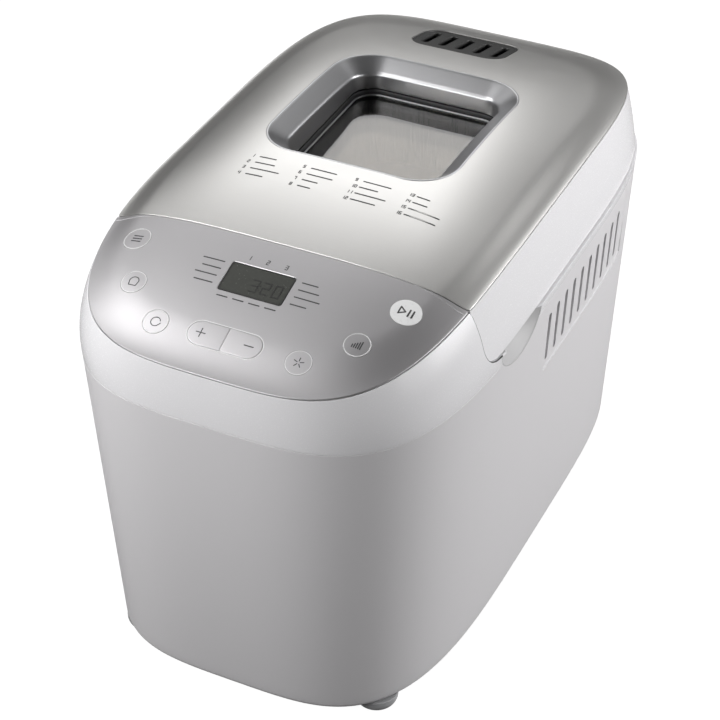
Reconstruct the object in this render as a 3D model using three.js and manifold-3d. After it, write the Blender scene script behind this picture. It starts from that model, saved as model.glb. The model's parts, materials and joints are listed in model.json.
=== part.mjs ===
// Bread machine with a hinged domed lid, a sloping control panel and twin kneading paddles.
// Millimetres, +Z up, +Y towards the back, origin on the table under the middle of the machine.
import * as THREE from 'three';
import { mergeVertices } from 'three/addons/utils/BufferGeometryUtils.js';
import Module from 'manifold-3d';

const wasm = await Module();
wasm.setup();

// ---------------------------------------------------------------- driving dimensions

// Plan outline of the top: a superellipse, squarer at the back than at the front.
const TOP_HALF_WIDTH = 122;
const TOP_HALF_DEPTH = 215.5;
const FRONT_POWER = 3.7;
const BACK_POWER = 4.8;
const OUTLINE_POINTS = 40;
const DOME_SCALES = [0.91, 0.7, 0.36];
const WALL_RISES = [0, 0.35, 0.7, 0.9, 1];
const HOLLOW_RISES = [0, 0.6, 1];
const HOLLOW_SCALES = [0.8, 0.4];

// Height of the metal top's edge, which falls away towards the front and the back.
const EDGE_HEIGHT = 283.4;
const EDGE_LEVEL_HALF = 50;
const EDGE_FALL_SPAN = 160;
const EDGE_FALL_FRONT = 18;
const EDGE_FALL_BACK = 10.7;
const CROWN = 23.2;
const CROWN_POWER_X = 3.6;
const CROWN_POWER_Y = 1.9;
const CROWN_BLEND = 0.15;

// Flare of the casing below that edge.
const SEAM_HEIGHT = 227.3;
const FLARE_SIDE = 10.3;
const FLARE_END = 1.4;
const SHOULDER_POWER = 2.6;
const LID_BOTTOM = 234.6;
const LID_FLARE_SIDE = 8.6;
const LID_FLARE_END = 1.2;
const LID_FLARE_POWER = 1.4;

// Lower casing.
const FOOT_HEIGHT = 8;
const BASE_HALF_WIDTH = 121.2;
const BASE_HALF_DEPTH = 208.5;
const BASE_EDGE_RADIUS = 9;
const WALL = 2.6;
const GAP = 0.4;
const SKIN = 1.5;

// Line where the lid meets the control housing, in side view.
const LID_FRONT_TOP = { y: -118.4, z: 297 };
const LID_FRONT_EDGE = { y: -112.4, z: 277 };
const LID_CORNER = { y: -88, z: 256, ry: 23.2, rz: LID_BOTTOM };
const LID_REVEAL = 0.8;
const DECK_THICKNESS = 5.6;

// Lid hinge, along X at the back.
const HINGE_Y = 210.5;
const HINGE_Z = 239;
const HINGE_X = 58;
const KNUCKLE_RADIUS = 3.4;
const KNUCKLE_HALF = 6;
const LID_KNUCKLE_WIDTH = 7;
const PIN_RADIUS = 1.6;
const HINGE_SWEEP_RADIUS = 9.8;

// Window and steam grille in the lid.
const WINDOW = { x: 0, y: 37.7, hx: 65.9, hy: 73, r: 29 };
const BEZEL_INSET = 12;
const BEZEL_DEPTH = 9;
const GLASS_Z = 272;
const GLASS_THICKNESS = 3;
const GRILLE = { x: -7.5, y: 169.5, hx: 34.8, hy: 22.5, r: 9 };
const GRILLE_SLOTS = 5;
const GRILLE_SLOT_PITCH = 12.9;

// Control panel.
const LCD = { x: -1.4, y: -150, hx: 21.3, hy: 11.3 };
const BUTTON_RADIUS = 8.2;
const MENU_RADIUS = 9;
const START_RADIUS = 9.4;
const BUTTON_HEIGHT = 4.5;
const BUTTON_PROUD = 0.3;
const BUTTON_GAP = 0.35;
const PILL = { x: -1.3, y: -190.6, hx: 24, r: 8, split: 0.4 };

// Side vents and finger scoops, the same on both sides.
const VENT_SLOTS = 10;
const VENT_FIRST_Y = -6.8;
const VENT_PITCH = 14.3;
const VENT_SLOT_WIDTH = 4.4;
const VENT_LOW = 175.5;
const VENT_HIGH = 212;
const SCOOP = { y: -59.5, z: LID_BOTTOM + 1, x: 133, rx: 12, ry: 29.5, rz: 19 };

// Baking chamber, pan and drive.
const CHAMBER = { x: 0, y: 48, hx: 91.5, hy: 119.5, r: 26 };
const CHAMBER_FLOOR = 50;
const SHEET = 1.5;
const PAN = { x: 0, y: 48, hx: 68, hy: 104, r: 22 };
const PAN_FLOOR = 66;
const PAN_RIM = 184;
const PAN_TAPER = 6;
const HANDLE_ARM = 62;
const HANDLE_Z = 191;
const HANDLE_ROD = 2.5;
const DRIVE_SPACING = 100;
const DRIVE_Y = [CHAMBER.y - DRIVE_SPACING / 2, CHAMBER.y + DRIVE_SPACING / 2];
const SHAFT_RADIUS = 4;
const MOTOR = { y: -152, r: 36, z0: 62, z1: 142 };
const BIG_PULLEY_RADIUS = 56;
const SMALL_PULLEY_RADIUS = 8;
const TIMING_RADIUS = 22;
const BELT_LEVEL = 22;
const TIMING_LEVEL = 35;
const PULLEY_WIDTH = 10;
const BELT_THICKNESS = 2;

// ---------------------------------------------------------------- materials

function material(color, roughness, metalness = 0, opacity = 1) {
  return new THREE.MeshStandardMaterial({ color, roughness, metalness, opacity, transparent: opacity < 1 });
}

const brushedSteel = material(0xb9b7b2, 0.35, 0.9);
const satinSilver = material(0xbdbcba, 0.4, 0.7);
const glossWhite = material(0xf0eff0, 0.18);
const satinWhite = material(0xe4e2e6, 0.45);
const greyRubber = material(0x8b8d90, 0.8);
const darkGrille = material(0x4a4b4b, 0.5);
const lcdGrey = material(0x6a6e66, 0.25);
const buttonSilver = material(0xc9c9c8, 0.4, 0.3);
const startWhite = material(0xececec, 0.35);
const windowGlass = material(0x8a857c, 0.05, 0, 0.4);
const blackSeal = material(0x1c1c1d, 0.6);
const siliconeSeal = material(0xb0b0ac, 0.6);
const sheetSteel = material(0xa9aaac, 0.3, 0.9);
const panCoating = material(0x3b3b3d, 0.45, 0.3);
const machinedSteel = material(0xc4c6c8, 0.25, 1);
const heaterSheath = material(0x5d5a57, 0.5, 0.8);
const blackPlastic = material(0x2a2a2b, 0.55);
const beltRubber = material(0x242424, 0.8);
const boardGreen = material(0x2f5d3a, 0.6);

// ---------------------------------------------------------------- solids

const WELD = 2e-3;

function solidOf(positions, index) {
  const mesh = new wasm.Mesh({
    numProp: 3,
    vertProperties: new Float32Array(positions),
    triVerts: new Uint32Array(index),
  });
  return new wasm.Manifold(mesh);
}

function solid(geometry, tolerance = 1e-4) {
  const bare = geometry.clone();
  bare.deleteAttribute('normal');
  bare.deleteAttribute('uv');
  const merged = mergeVertices(bare, tolerance);
  const points = merged.attributes.position;
  const kept = [];
  for (let i = 0; i < merged.index.count; i += 3) {
    const [a, b, c] = [0, 1, 2].map((k) => merged.index.getX(i + k));
    if (a !== b && b !== c && a !== c) kept.push(a, b, c);
  }
  return solidOf(points.array, kept);
}

function indexedGeometry(body) {
  const data = body.getMesh();
  const geometry = new THREE.BufferGeometry();
  const points = new Float32Array((data.vertProperties.length / data.numProp) * 3);
  for (let i = 0; i < points.length / 3; i++) {
    for (let k = 0; k < 3; k++) points[3 * i + k] = data.vertProperties[i * data.numProp + k];
  }
  geometry.setAttribute('position', new THREE.BufferAttribute(points, 3));
  geometry.setIndex(Array.from(data.triVerts));
  return geometry;
}

// Welds vertices closer than WELD and drops the zero-volume flakes that this can leave.
function welded(body) {
  const pieces = solid(indexedGeometry(body), WELD).decompose();
  return pieces.reduce((largest, piece) => (piece.volume() > largest.volume() ? piece : largest));
}

function mesh(name, body, look) {
  const geometry = indexedGeometry(welded(body));
  geometry.computeVertexNormals();
  const result = new THREE.Mesh(geometry, look);
  result.name = name;
  return result;
}

function union(...bodies) {
  return bodies.reduce((all, one) => all.add(one));
}

function cut(body, ...tools) {
  return tools.reduce((rest, tool) => rest.subtract(tool), body);
}

// A closed skin over a stack of rings of equal length, each ring anticlockwise seen from above.
// Each end is closed to a point in its middle: on the ring's level, or at a depth under the dome where one is given.
function loft(rings, { lowDepth, highDepth } = {}) {
  const count = rings[0].length;
  const positions = rings.flat(2);
  const index = [];
  for (let r = 0; r + 1 < rings.length; r++) {
    for (let i = 0; i < count; i++) {
      const a = r * count + i;
      const b = r * count + ((i + 1) % count);
      index.push(a, b, b + count, a, b + count, a + count);
    }
  }
  const centre = (ring, depth) => {
    const [x, y, z] = [0, 1, 2].map((k) => ring.reduce((sum, p) => sum + p[k], 0) / count);
    return [x, y, depth === undefined ? z : domeHeight(x, y) - depth];
  };
  const bottom = positions.length / 3;
  positions.push(...centre(rings[0], lowDepth), ...centre(rings[rings.length - 1], highDepth));
  const last = (rings.length - 1) * count;
  for (let i = 0; i < count; i++) {
    const next = (i + 1) % count;
    index.push(bottom, next, i);
    index.push(bottom + 1, last + i, last + next);
  }
  return solidOf(positions, index);
}

function roundedRect({ x, y, hx, hy, r }, grow = 0) {
  const [a, b, radius] = [hx + grow, hy + grow, Math.max(r + grow, 0.5)];
  const shape = new THREE.Shape();
  shape.absarc(x + a - radius, y + b - radius, radius, 0, Math.PI / 2);
  shape.absarc(x - a + radius, y + b - radius, radius, Math.PI / 2, Math.PI);
  shape.absarc(x - a + radius, y - b + radius, radius, Math.PI, 1.5 * Math.PI);
  shape.absarc(x + a - radius, y - b + radius, radius, 1.5 * Math.PI, 2 * Math.PI);
  shape.closePath();
  return shape;
}

function slab(shape, z0, z1, curveSegments = 3) {
  const geometry = new THREE.ExtrudeGeometry(shape, { depth: z1 - z0, bevelEnabled: false, curveSegments });
  return solid(geometry.translate(0, 0, z0));
}

// Extrudes a shape drawn in the side view (first coordinate Y, second Z) along X.
function sideSlab(shape, x0, x1, curveSegments = 8) {
  const geometry = new THREE.ExtrudeGeometry(shape, { depth: x1 - x0, bevelEnabled: false, curveSegments });
  const turn = new THREE.Matrix4().makeBasis(
    new THREE.Vector3(0, 1, 0),
    new THREE.Vector3(0, 0, 1),
    new THREE.Vector3(1, 0, 0),
  );
  return solid(geometry.applyMatrix4(turn).translate(x0, 0, 0));
}

function box(x0, x1, y0, y1, z0, z1) {
  const geometry = new THREE.BoxGeometry(x1 - x0, y1 - y0, z1 - z0);
  return solid(geometry.translate((x0 + x1) / 2, (y0 + y1) / 2, (z0 + z1) / 2));
}

function postZ(x, y, radius, z0, z1, sides = 16) {
  const geometry = new THREE.CylinderGeometry(radius, radius, z1 - z0, sides).rotateX(Math.PI / 2);
  return solid(geometry.translate(x, y, (z0 + z1) / 2));
}

function rodX(y, z, radius, x0, x1, sides = 10) {
  const geometry = new THREE.CylinderGeometry(radius, radius, x1 - x0, sides).rotateZ(Math.PI / 2);
  return solid(geometry.translate((x0 + x1) / 2, y, z));
}

function rodY(x, z, radius, y0, y1, sides = 16) {
  const geometry = new THREE.CylinderGeometry(radius, radius, y1 - y0, sides);
  return solid(geometry.translate(x, (y0 + y1) / 2, z));
}

// ---------------------------------------------------------------- the casing's form

function unitOutline() {
  const points = [];
  for (let i = 0; i < OUTLINE_POINTS; i++) {
    const angle = (2 * Math.PI * (i + 0.5)) / OUTLINE_POINTS;
    const c = Math.cos(angle);
    const s = Math.sin(angle);
    const power = 2 / (s < 0 ? FRONT_POWER : BACK_POWER);
    points.push([Math.sign(c) * Math.abs(c) ** power, Math.sign(s) * Math.abs(s) ** power]);
  }
  return points;
}

const UNIT = unitOutline();

function edgeHeight(y) {
  const front = Math.max(0, (-y - EDGE_LEVEL_HALF) / EDGE_FALL_SPAN);
  const back = Math.max(0, (y - EDGE_LEVEL_HALF) / EDGE_FALL_SPAN);
  return EDGE_HEIGHT - EDGE_FALL_FRONT * front ** 2 - EDGE_FALL_BACK * back ** 2;
}

// How far out a point lies: 0 in the middle, 1 on the edge of the metal top.
function reach(x, y) {
  const power = y < 0 ? FRONT_POWER : BACK_POWER;
  const sum = Math.abs(x / TOP_HALF_WIDTH) ** power + Math.abs(y / TOP_HALF_DEPTH) ** power;
  return sum ** (1 / power);
}

function domeHeight(x, y) {
  const across = 1 - Math.min(1, Math.abs(x / TOP_HALF_WIDTH)) ** CROWN_POWER_X;
  const along = 1 - Math.min(1, Math.abs(y / TOP_HALF_DEPTH)) ** CROWN_POWER_Y;
  const blend = Math.min(1, Math.max(0, 1 - reach(x, y)) / CROWN_BLEND);
  return edgeHeight(y) + CROWN * across * along * blend * (2 - blend);
}

// Outward lean of the control housing's wall: 0 at the metal edge, full at the belt seam.
function collarFlare(rise) {
  return 1 - rise ** SHOULDER_POWER + 0.6 * rise * (1 - rise) ** 2;
}

function lidFlare(rise) {
  return 1 - rise ** LID_FLARE_POWER;
}

// The upper casing as a solid: walls that rise to the metal edge, and the dome above it.
// With raise set, the form ends in straight walls above the metal edge instead of the dome.
function upperForm({ flare, side, end, bottom, inset = 0, drop = 0, below = 0, raise = 0 }) {
  const [rises, scales] = inset > 0 ? [HOLLOW_RISES, HOLLOW_SCALES] : [WALL_RISES, DOME_SCALES];
  const rings = [];
  const ring = (rise, extra = 0) => UNIT.map(([ux, uy]) => {
    const x = (TOP_HALF_WIDTH + side * flare(rise) - inset) * ux;
    const y = (TOP_HALF_DEPTH + end * flare(rise) - inset) * uy;
    return [x, y, bottom + (edgeHeight(y) - bottom) * rise - drop * rise - extra];
  });
  if (below > 0) rings.push(ring(0, below));
  for (const rise of rises) rings.push(ring(rise));
  if (raise > 0) rings.push(ring(1, -raise));
  for (const scale of raise > 0 ? [] : scales) {
    rings.push(UNIT.map(([ux, uy]) => {
      const x = (TOP_HALF_WIDTH - inset) * scale * ux;
      const y = (TOP_HALF_DEPTH - inset) * scale * uy;
      return [x, y, domeHeight(x, y) - drop];
    }));
  }
  return loft(rings, raise > 0 ? {} : { highDepth: drop });
}

const COLLAR_FORM = { flare: collarFlare, side: FLARE_SIDE, end: FLARE_END, bottom: SEAM_HEIGHT };
const LID_FORM = { flare: lidFlare, side: LID_FLARE_SIDE, end: LID_FLARE_END, bottom: LID_BOTTOM };

// The plate on top: the dome's surface, with a constant thickness, out to the metal edge.
function topPlate(outset, top, bottom) {
  const ring = (scale, drop) => UNIT.map(([ux, uy]) => {
    const x = (TOP_HALF_WIDTH + outset) * scale * ux;
    const y = (TOP_HALF_DEPTH + outset) * scale * uy;
    return [x, y, domeHeight(x, y) - drop];
  });
  const outward = [...DOME_SCALES].reverse();
  const under = [...outward, 1].map((scale) => ring(scale, bottom));
  const over = [1, ...DOME_SCALES].map((scale) => ring(scale, top));
  return loft([...under, ...over], { lowDepth: bottom, highDepth: top });
}

function lowerForm(inset, floor, radius, top) {
  const rings = [];
  const ring = (z, rounding) => {
    const t = (z - FOOT_HEIGHT) / (SEAM_HEIGHT - FOOT_HEIGHT);
    const a = BASE_HALF_WIDTH + (TOP_HALF_WIDTH + FLARE_SIDE - BASE_HALF_WIDTH) * t - inset - rounding;
    const b = BASE_HALF_DEPTH + (TOP_HALF_DEPTH + FLARE_END - BASE_HALF_DEPTH) * t - inset - rounding;
    return UNIT.map(([ux, uy]) => [a * ux, b * uy, z]);
  };
  for (const step of [0, 1, 2, 3]) {
    const angle = (step * Math.PI) / 6;
    rings.push(ring(floor + radius * (1 - Math.cos(angle)), radius * (1 - Math.sin(angle))));
  }
  rings.push(ring(top, 0));
  return loft(rings);
}

// The lid's side-view region, grown all round: everything above and behind its front edge.
function lidRegion(grow) {
  const far = 400;
  const corner = LID_CORNER;
  const shape = new THREE.Shape();
  const slope = (LID_FRONT_TOP.y - LID_FRONT_EDGE.y) / (LID_FRONT_TOP.z - LID_FRONT_EDGE.z);
  shape.moveTo(LID_FRONT_TOP.y + slope * (far - LID_FRONT_TOP.z) - grow, far);
  shape.lineTo(LID_FRONT_EDGE.y - grow, LID_FRONT_EDGE.z);
  const rz = corner.z - corner.rz + grow;
  const ry = corner.ry + grow;
  for (let i = 0; i <= 6; i++) {
    const angle = (i * Math.PI) / 12;
    shape.lineTo(corner.y - ry * Math.cos(angle), corner.z - rz * Math.sin(angle));
  }
  shape.lineTo(far, LID_BOTTOM - grow);
  shape.lineTo(far, far);
  shape.closePath();
  return sideSlab(shape, -far / 2, far / 2);
}

const halfSpaceAbove = (z) => box(-300, 300, -300, 300, z, 500);
const halfSpaceBelow = (z) => box(-300, 300, -300, 300, -100, z);

// ---------------------------------------------------------------- casing parts

function scoopSolid(side, grow) {
  const geometry = new THREE.SphereGeometry(1, 12, 6);
  geometry.scale(SCOOP.rx + grow, SCOOP.ry + grow, SCOOP.rz + grow);
  return solid(geometry.translate(side * SCOOP.x, SCOOP.y, SCOOP.z));
}

function withScoops(body, envelope) {
  let result = body;
  for (const side of [-1, 1]) {
    result = union(result, scoopSolid(side, WALL).intersect(envelope));
    result = cut(result, scoopSolid(side, 0));
  }
  return result;
}

function ventSlot(side, y) {
  const [x0, x1] = side > 0 ? [100, 150] : [-150, -100];
  return box(x0, x1, y - VENT_SLOT_WIDTH / 2, y + VENT_SLOT_WIDTH / 2, VENT_LOW, VENT_HIGH);
}

const FLOOR_OPENING = { x: 0, y: 0, hx: 80, hy: 160, r: 30 };
const BASE_SCREWS = [[-85, -60], [85, -60], [-85, 60], [85, 60]];
const FEET = [[-85, -171], [85, -171], [-85, 171], [85, 171]];
const INLET = { x: 70, z: 40, r: 8 };

function bodyShell() {
  const top = SEAM_HEIGHT - GAP / 2;
  const outer = lowerForm(0, FOOT_HEIGHT, BASE_EDGE_RADIUS, top);
  const inner = lowerForm(WALL, FOOT_HEIGHT + WALL, BASE_EDGE_RADIUS - WALL, top + 5);
  let shell = withScoops(cut(outer, inner), outer);
  for (const side of [-1, 1]) {
    for (let i = 0; i < VENT_SLOTS; i++) {
      shell = cut(shell, ventSlot(side, VENT_FIRST_Y + i * VENT_PITCH));
    }
  }
  shell = cut(shell, slab(roundedRect(FLOOR_OPENING), 0, 20), rodY(INLET.x, INLET.z, INLET.r + GAP, 180, 230));
  for (const [x, y] of BASE_SCREWS) shell = cut(shell, postZ(x, y, 2.1, 0, 20, 10));
  return mesh('body_shell', shell, satinWhite);
}

const BASE_PLATE_Z = FOOT_HEIGHT + WALL + GAP;
const BASE_PLATE_THICKNESS = 2.5;

function basePlate() {
  let plate = slab(roundedRect({ x: 0, y: 0, hx: 92, hy: 170, r: 34 }), BASE_PLATE_Z,
    BASE_PLATE_Z + BASE_PLATE_THICKNESS);
  for (const [x, y] of BASE_SCREWS) plate = cut(plate, postZ(x, y, 2.1, 0, 20, 10));
  for (let i = 0; i < 3; i++) {
    plate = cut(plate, slab(roundedRect({ x: 0, y: -150 + i * 10, hx: 22, hy: 2, r: 1.9 }), 0, 20, 1));
  }
  return mesh('base_plate', plate, blackPlastic);
}

function foot(number, [x, y]) {
  const profile = [[0, 0], [12.8, 0], [13.9, 1.5], [14.3, FOOT_HEIGHT - GAP], [0, FOOT_HEIGHT - GAP]];
  const geometry = new THREE.LatheGeometry(profile.map(([r, z]) => new THREE.Vector2(r, z)), 18);
  const result = mesh(`foot_${number}`, solid(geometry.rotateX(Math.PI / 2)), greyRubber);
  result.position.set(x, y, 0);
  return result;
}

function baseScrew(number, [x, y]) {
  const top = FOOT_HEIGHT - GAP;
  const profile = [[0, top - 2.4], [3, top - 2.2], [3.7, top - 1], [3.7, top], [1.7, top], [1.7, 13], [0, 13]];
  const geometry = new THREE.LatheGeometry(profile.map(([r, z]) => new THREE.Vector2(r, z)), 10);
  const result = mesh(`base_screw_${number}`, solid(geometry.rotateX(Math.PI / 2)), machinedSteel);
  result.position.set(x, y, 0);
  return result;
}

const CHAMBER_OPENING = { ...CHAMBER, hx: 95.5, hy: 123.5, r: 29 };

function hingeLug(x) {
  const lug = union(
    box(x - KNUCKLE_HALF, x + KNUCKLE_HALF, HINGE_Y - KNUCKLE_RADIUS, HINGE_Y + KNUCKLE_RADIUS,
      LID_BOTTOM - LID_REVEAL - DECK_THICKNESS + 0.3, HINGE_Z),
    rodX(HINGE_Y, HINGE_Z, KNUCKLE_RADIUS, x - KNUCKLE_HALF, x + KNUCKLE_HALF),
  );
  return lug;
}

function collarFrame() {
  const fasciaDrop = SKIN + GAP;
  const outer = upperForm({ ...COLLAR_FORM, drop: fasciaDrop }).intersect(halfSpaceAbove(SEAM_HEIGHT + GAP / 2));
  const hollow = upperForm({ ...COLLAR_FORM, inset: WALL, drop: fasciaDrop, below: 20, raise: 60 });
  const wall = cut(outer, hollow);
  const partition = cut(lidRegion(LID_REVEAL + WALL), lidRegion(LID_REVEAL));
  const deckBlock = box(-300, 300, LID_CORNER.y, 300, LID_BOTTOM - LID_REVEAL - DECK_THICKNESS, LID_BOTTOM);
  const inside = outer.intersect(union(partition, deckBlock));
  let frame = cut(withScoops(union(wall, inside), outer), lidRegion(LID_REVEAL));
  frame = cut(frame, slab(roundedRect(CHAMBER_OPENING), 200, 240));
  frame = cut(frame, rodX(HINGE_Y, HINGE_Z, HINGE_SWEEP_RADIUS, -94, 94, 24));
  for (const x of [-HINGE_X, HINGE_X]) frame = frame.add(hingeLug(x));
  frame = cut(frame, rodX(HINGE_Y, HINGE_Z, PIN_RADIUS + GAP, -100, 100, 8));
  return mesh('collar_frame', frame, glossWhite);
}

function hingePin(name, x) {
  const half = KNUCKLE_HALF + LID_KNUCKLE_WIDTH;
  return mesh(name, rodX(HINGE_Y, HINGE_Z, PIN_RADIUS, x - half, x + half, 8), machinedSteel);
}

function cableInlet() {
  const body = union(
    rodY(INLET.x, INLET.z, INLET.r, 194, 210),
    rodY(INLET.x, INLET.z, INLET.r + 3.5, 208.6, 212.6),
  );
  return mesh('cable_inlet', cut(body, rodY(INLET.x, INLET.z, 4.2, 180, 230, 12)), blackPlastic);
}

// ---------------------------------------------------------------- control panel parts

function surfaceNormal(x, y) {
  const step = 0.5;
  const slopeX = (domeHeight(x + step, y) - domeHeight(x - step, y)) / (2 * step);
  const slopeY = (domeHeight(x, y + step) - domeHeight(x, y - step)) / (2 * step);
  return new THREE.Vector3(-slopeX, -slopeY, 1).normalize();
}

// Places geometry drawn about the origin, +Z up, on the panel with +Z along its normal.
function onPanel(geometry, x, y) {
  const turn = new THREE.Quaternion().setFromUnitVectors(new THREE.Vector3(0, 0, 1), surfaceNormal(x, y));
  return geometry.applyQuaternion(turn).translate(x, y, domeHeight(x, y));
}

function discGeometry(radius, z0, z1, sides = 16) {
  return new THREE.CylinderGeometry(radius, radius, z1 - z0, sides).rotateX(Math.PI / 2)
    .translate(0, 0, (z0 + z1) / 2);
}

function flatGeometry(shape, z0, z1, curveSegments = 4) {
  return new THREE.ExtrudeGeometry(shape, { depth: z1 - z0, bevelEnabled: false, curveSegments })
    .translate(0, 0, z0);
}

// One half of the plus and minus pill: round at its outer end, flat at the split.
function pillHalf(side, grow) {
  const r = PILL.r + grow;
  const end = side * (PILL.hx - PILL.r);
  const split = side * (PILL.split / 2 - grow);
  const shape = new THREE.Shape();
  if (side > 0) {
    shape.moveTo(split, -r);
    shape.lineTo(end, -r);
    shape.absarc(end, 0, r, -Math.PI / 2, Math.PI / 2);
    shape.lineTo(split, r);
  } else {
    shape.moveTo(split, r);
    shape.lineTo(end, r);
    shape.absarc(end, 0, r, Math.PI / 2, 1.5 * Math.PI);
    shape.lineTo(split, -r);
  }
  shape.closePath();
  return shape;
}

const ROUND_BUTTONS = [
  { name: 'menu_button', x: -89.8, y: -137.9, r: MENU_RADIUS, look: buttonSilver },
  { name: 'loaf_size_button', x: -73.9, y: -170.1, r: BUTTON_RADIUS, look: buttonSilver },
  { name: 'dough_button', x: -47, y: -191.5, r: BUTTON_RADIUS, look: buttonSilver },
  { name: 'custom_button', x: 47, y: -191.5, r: BUTTON_RADIUS, look: buttonSilver },
  { name: 'crust_button', x: 73.9, y: -170.1, r: BUTTON_RADIUS, look: buttonSilver },
  { name: 'start_button', x: 89.8, y: -137.9, r: START_RADIUS, look: startWhite },
];
const PILL_BUTTONS = [
  { name: 'plus_button', side: -1 },
  { name: 'minus_button', side: 1 },
];

function buttons() {
  const round = ROUND_BUTTONS.map(({ name, x, y, r, look }) => mesh(
    name,
    solid(onPanel(discGeometry(r, BUTTON_PROUD - BUTTON_HEIGHT, BUTTON_PROUD), x, y)),
    look,
  ));
  const pills = PILL_BUTTONS.map(({ name, side }) => mesh(
    name,
    solid(onPanel(flatGeometry(pillHalf(side, 0), BUTTON_PROUD - BUTTON_HEIGHT, BUTTON_PROUD), PILL.x, PILL.y)),
    buttonSilver,
  ));
  return [...round, ...pills];
}

function controlFascia() {
  let panel = topPlate(0, 0, SKIN);
  panel = cut(panel, lidRegion(LID_REVEAL / 2));
  for (const { x, y, r } of ROUND_BUTTONS) {
    panel = cut(panel, solid(onPanel(discGeometry(r + BUTTON_GAP, -10, 10), x, y)));
  }
  for (const { side } of PILL_BUTTONS) {
    panel = cut(panel, solid(onPanel(flatGeometry(pillHalf(side, BUTTON_GAP), -10, 10), PILL.x, PILL.y)));
  }
  const opening = roundedRect({ x: 0, y: 0, hx: LCD.hx, hy: LCD.hy, r: 2 });
  panel = cut(panel, solid(onPanel(flatGeometry(opening, -10, 10, 2), LCD.x, LCD.y)));
  return mesh('control_fascia', panel, satinSilver);
}

function lcdLens() {
  const shape = roundedRect({ x: 0, y: 0, hx: LCD.hx, hy: LCD.hy, r: 2 }, -BUTTON_GAP);
  return mesh('lcd_lens', solid(onPanel(flatGeometry(shape, -SKIN, -0.2, 2), LCD.x, LCD.y)), lcdGrey);
}

function lcdModule() {
  const shape = roundedRect({ x: 0, y: 0, hx: LCD.hx + 4, hy: LCD.hy + 4, r: 1 });
  return mesh('lcd_module', solid(onPanel(flatGeometry(shape, -9, -SKIN - 2.8, 1), LCD.x, LCD.y)), blackPlastic);
}

function controlBoard() {
  const shape = roundedRect({ x: 0, y: 0, hx: 92, hy: 28, r: 6 });
  return mesh('control_board', solid(onPanel(flatGeometry(shape, -13.5, -11.9, 2), 0, -165)), boardGreen);
}

function powerBoard() {
  return mesh('power_board', union(
    box(-84, -82, -184, -106, 34, 118),
    box(-82.5, -64, -176, -150, 40, 66),
    box(-82.5, -70, -140, -118, 74, 96),
  ), boardGreen);
}

// ---------------------------------------------------------------- lid parts

function lidFrame() {
  const region = lidRegion(0);
  const outer = upperForm({ ...LID_FORM, drop: SKIN + GAP }).intersect(region);
  const hollow = upperForm({ ...LID_FORM, inset: WALL, drop: SKIN + GAP + WALL, below: 20 })
    .intersect(lidRegion(-WALL).add(halfSpaceBelow(LID_BOTTOM + WALL).intersect(
      box(-300, 300, LID_CORNER.y, 300, 0, 300))));
  let frame = cut(outer, hollow);
  for (const x of [-HINGE_X, HINGE_X]) {
    for (const side of [-1, 1]) {
      const near = x + side * (KNUCKLE_HALF + GAP);
      const far = x + side * (KNUCKLE_HALF + GAP + LID_KNUCKLE_WIDTH);
      const [x0, x1] = [Math.min(near, far), Math.max(near, far)];
      frame = union(frame, rodX(HINGE_Y, HINGE_Z, KNUCKLE_RADIUS, x0, x1));
      frame = union(frame, box(x0, x1, HINGE_Y - KNUCKLE_RADIUS, HINGE_Y + KNUCKLE_RADIUS + 1, HINGE_Z, HINGE_Z + 6));
    }
    frame = cut(frame, box(x - KNUCKLE_HALF - GAP, x + KNUCKLE_HALF + GAP, 200, 230, 200, HINGE_Z + 5));
  }
  frame = cut(frame, rodX(HINGE_Y, HINGE_Z, PIN_RADIUS + GAP, -80, 80, 8));
  frame = cut(frame, slab(roundedRect(WINDOW, 1), 250, 330), slab(roundedRect(GRILLE, GAP), 250, 330, 3));
  return mesh('lid_frame', frame, glossWhite);
}

function lidSkin() {
  let skin = cut(topPlate(0, 0, SKIN), box(-300, 300, -300, 300, 0, 200)).intersect(lidRegion(-LID_REVEAL / 2));
  skin = cut(skin, slab(roundedRect(WINDOW), 250, 330), slab(roundedRect(GRILLE), 250, 330, 3));
  return mesh('lid_skin', skin, brushedSteel);
}

function outlinePoints(rect, grow, curveSegments = 3) {
  const points = roundedRect(rect, grow).getPoints(curveSegments);
  const distinct = points.filter((p, i) => i === 0 || p.distanceTo(points[i - 1]) > 1e-3);
  if (distinct[0].distanceTo(distinct[distinct.length - 1]) < 1e-3) distinct.pop();
  return distinct;
}

// A ring of the window well: inset from the opening, at a depth under the dome or at a level.
function wellRing(inset, { depth, level }) {
  return outlinePoints(WINDOW, -inset).map(({ x, y }) => [x, y, level ?? domeHeight(x, y) - depth]);
}

const WELL_BOTTOM = GLASS_Z + GLASS_THICKNESS + 4.5;

function windowBezel() {
  const outer = loft([
    wellRing(BEZEL_INSET - 2, { level: WELL_BOTTOM }),
    wellRing(BEZEL_INSET - 2, { depth: BEZEL_DEPTH + 2 }),
    wellRing(GAP, { depth: 1.8 }),
    wellRing(GAP, { depth: 0.2 }),
  ]);
  const inner = loft([
    wellRing(BEZEL_INSET + 0.6, { level: WELL_BOTTOM - 5 }),
    wellRing(BEZEL_INSET, { depth: BEZEL_DEPTH }),
    wellRing(2, { depth: 0.3 }),
    wellRing(1, { depth: -3 }),
  ]);
  return mesh('window_bezel', cut(outer, inner), satinSilver);
}

function windowGasket() {
  const ring = slab(roundedRect(WINDOW, -BEZEL_INSET + 3), GLASS_Z + GLASS_THICKNESS + GAP, WELL_BOTTOM - GAP);
  return mesh('window_gasket', cut(ring, slab(roundedRect(WINDOW, -BEZEL_INSET - 1.2), 250, 300)), blackSeal);
}

function outerGlass() {
  return mesh('outer_glass', slab(roundedRect(WINDOW, -BEZEL_INSET + 3.5), GLASS_Z, GLASS_Z + GLASS_THICKNESS),
    windowGlass);
}

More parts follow.
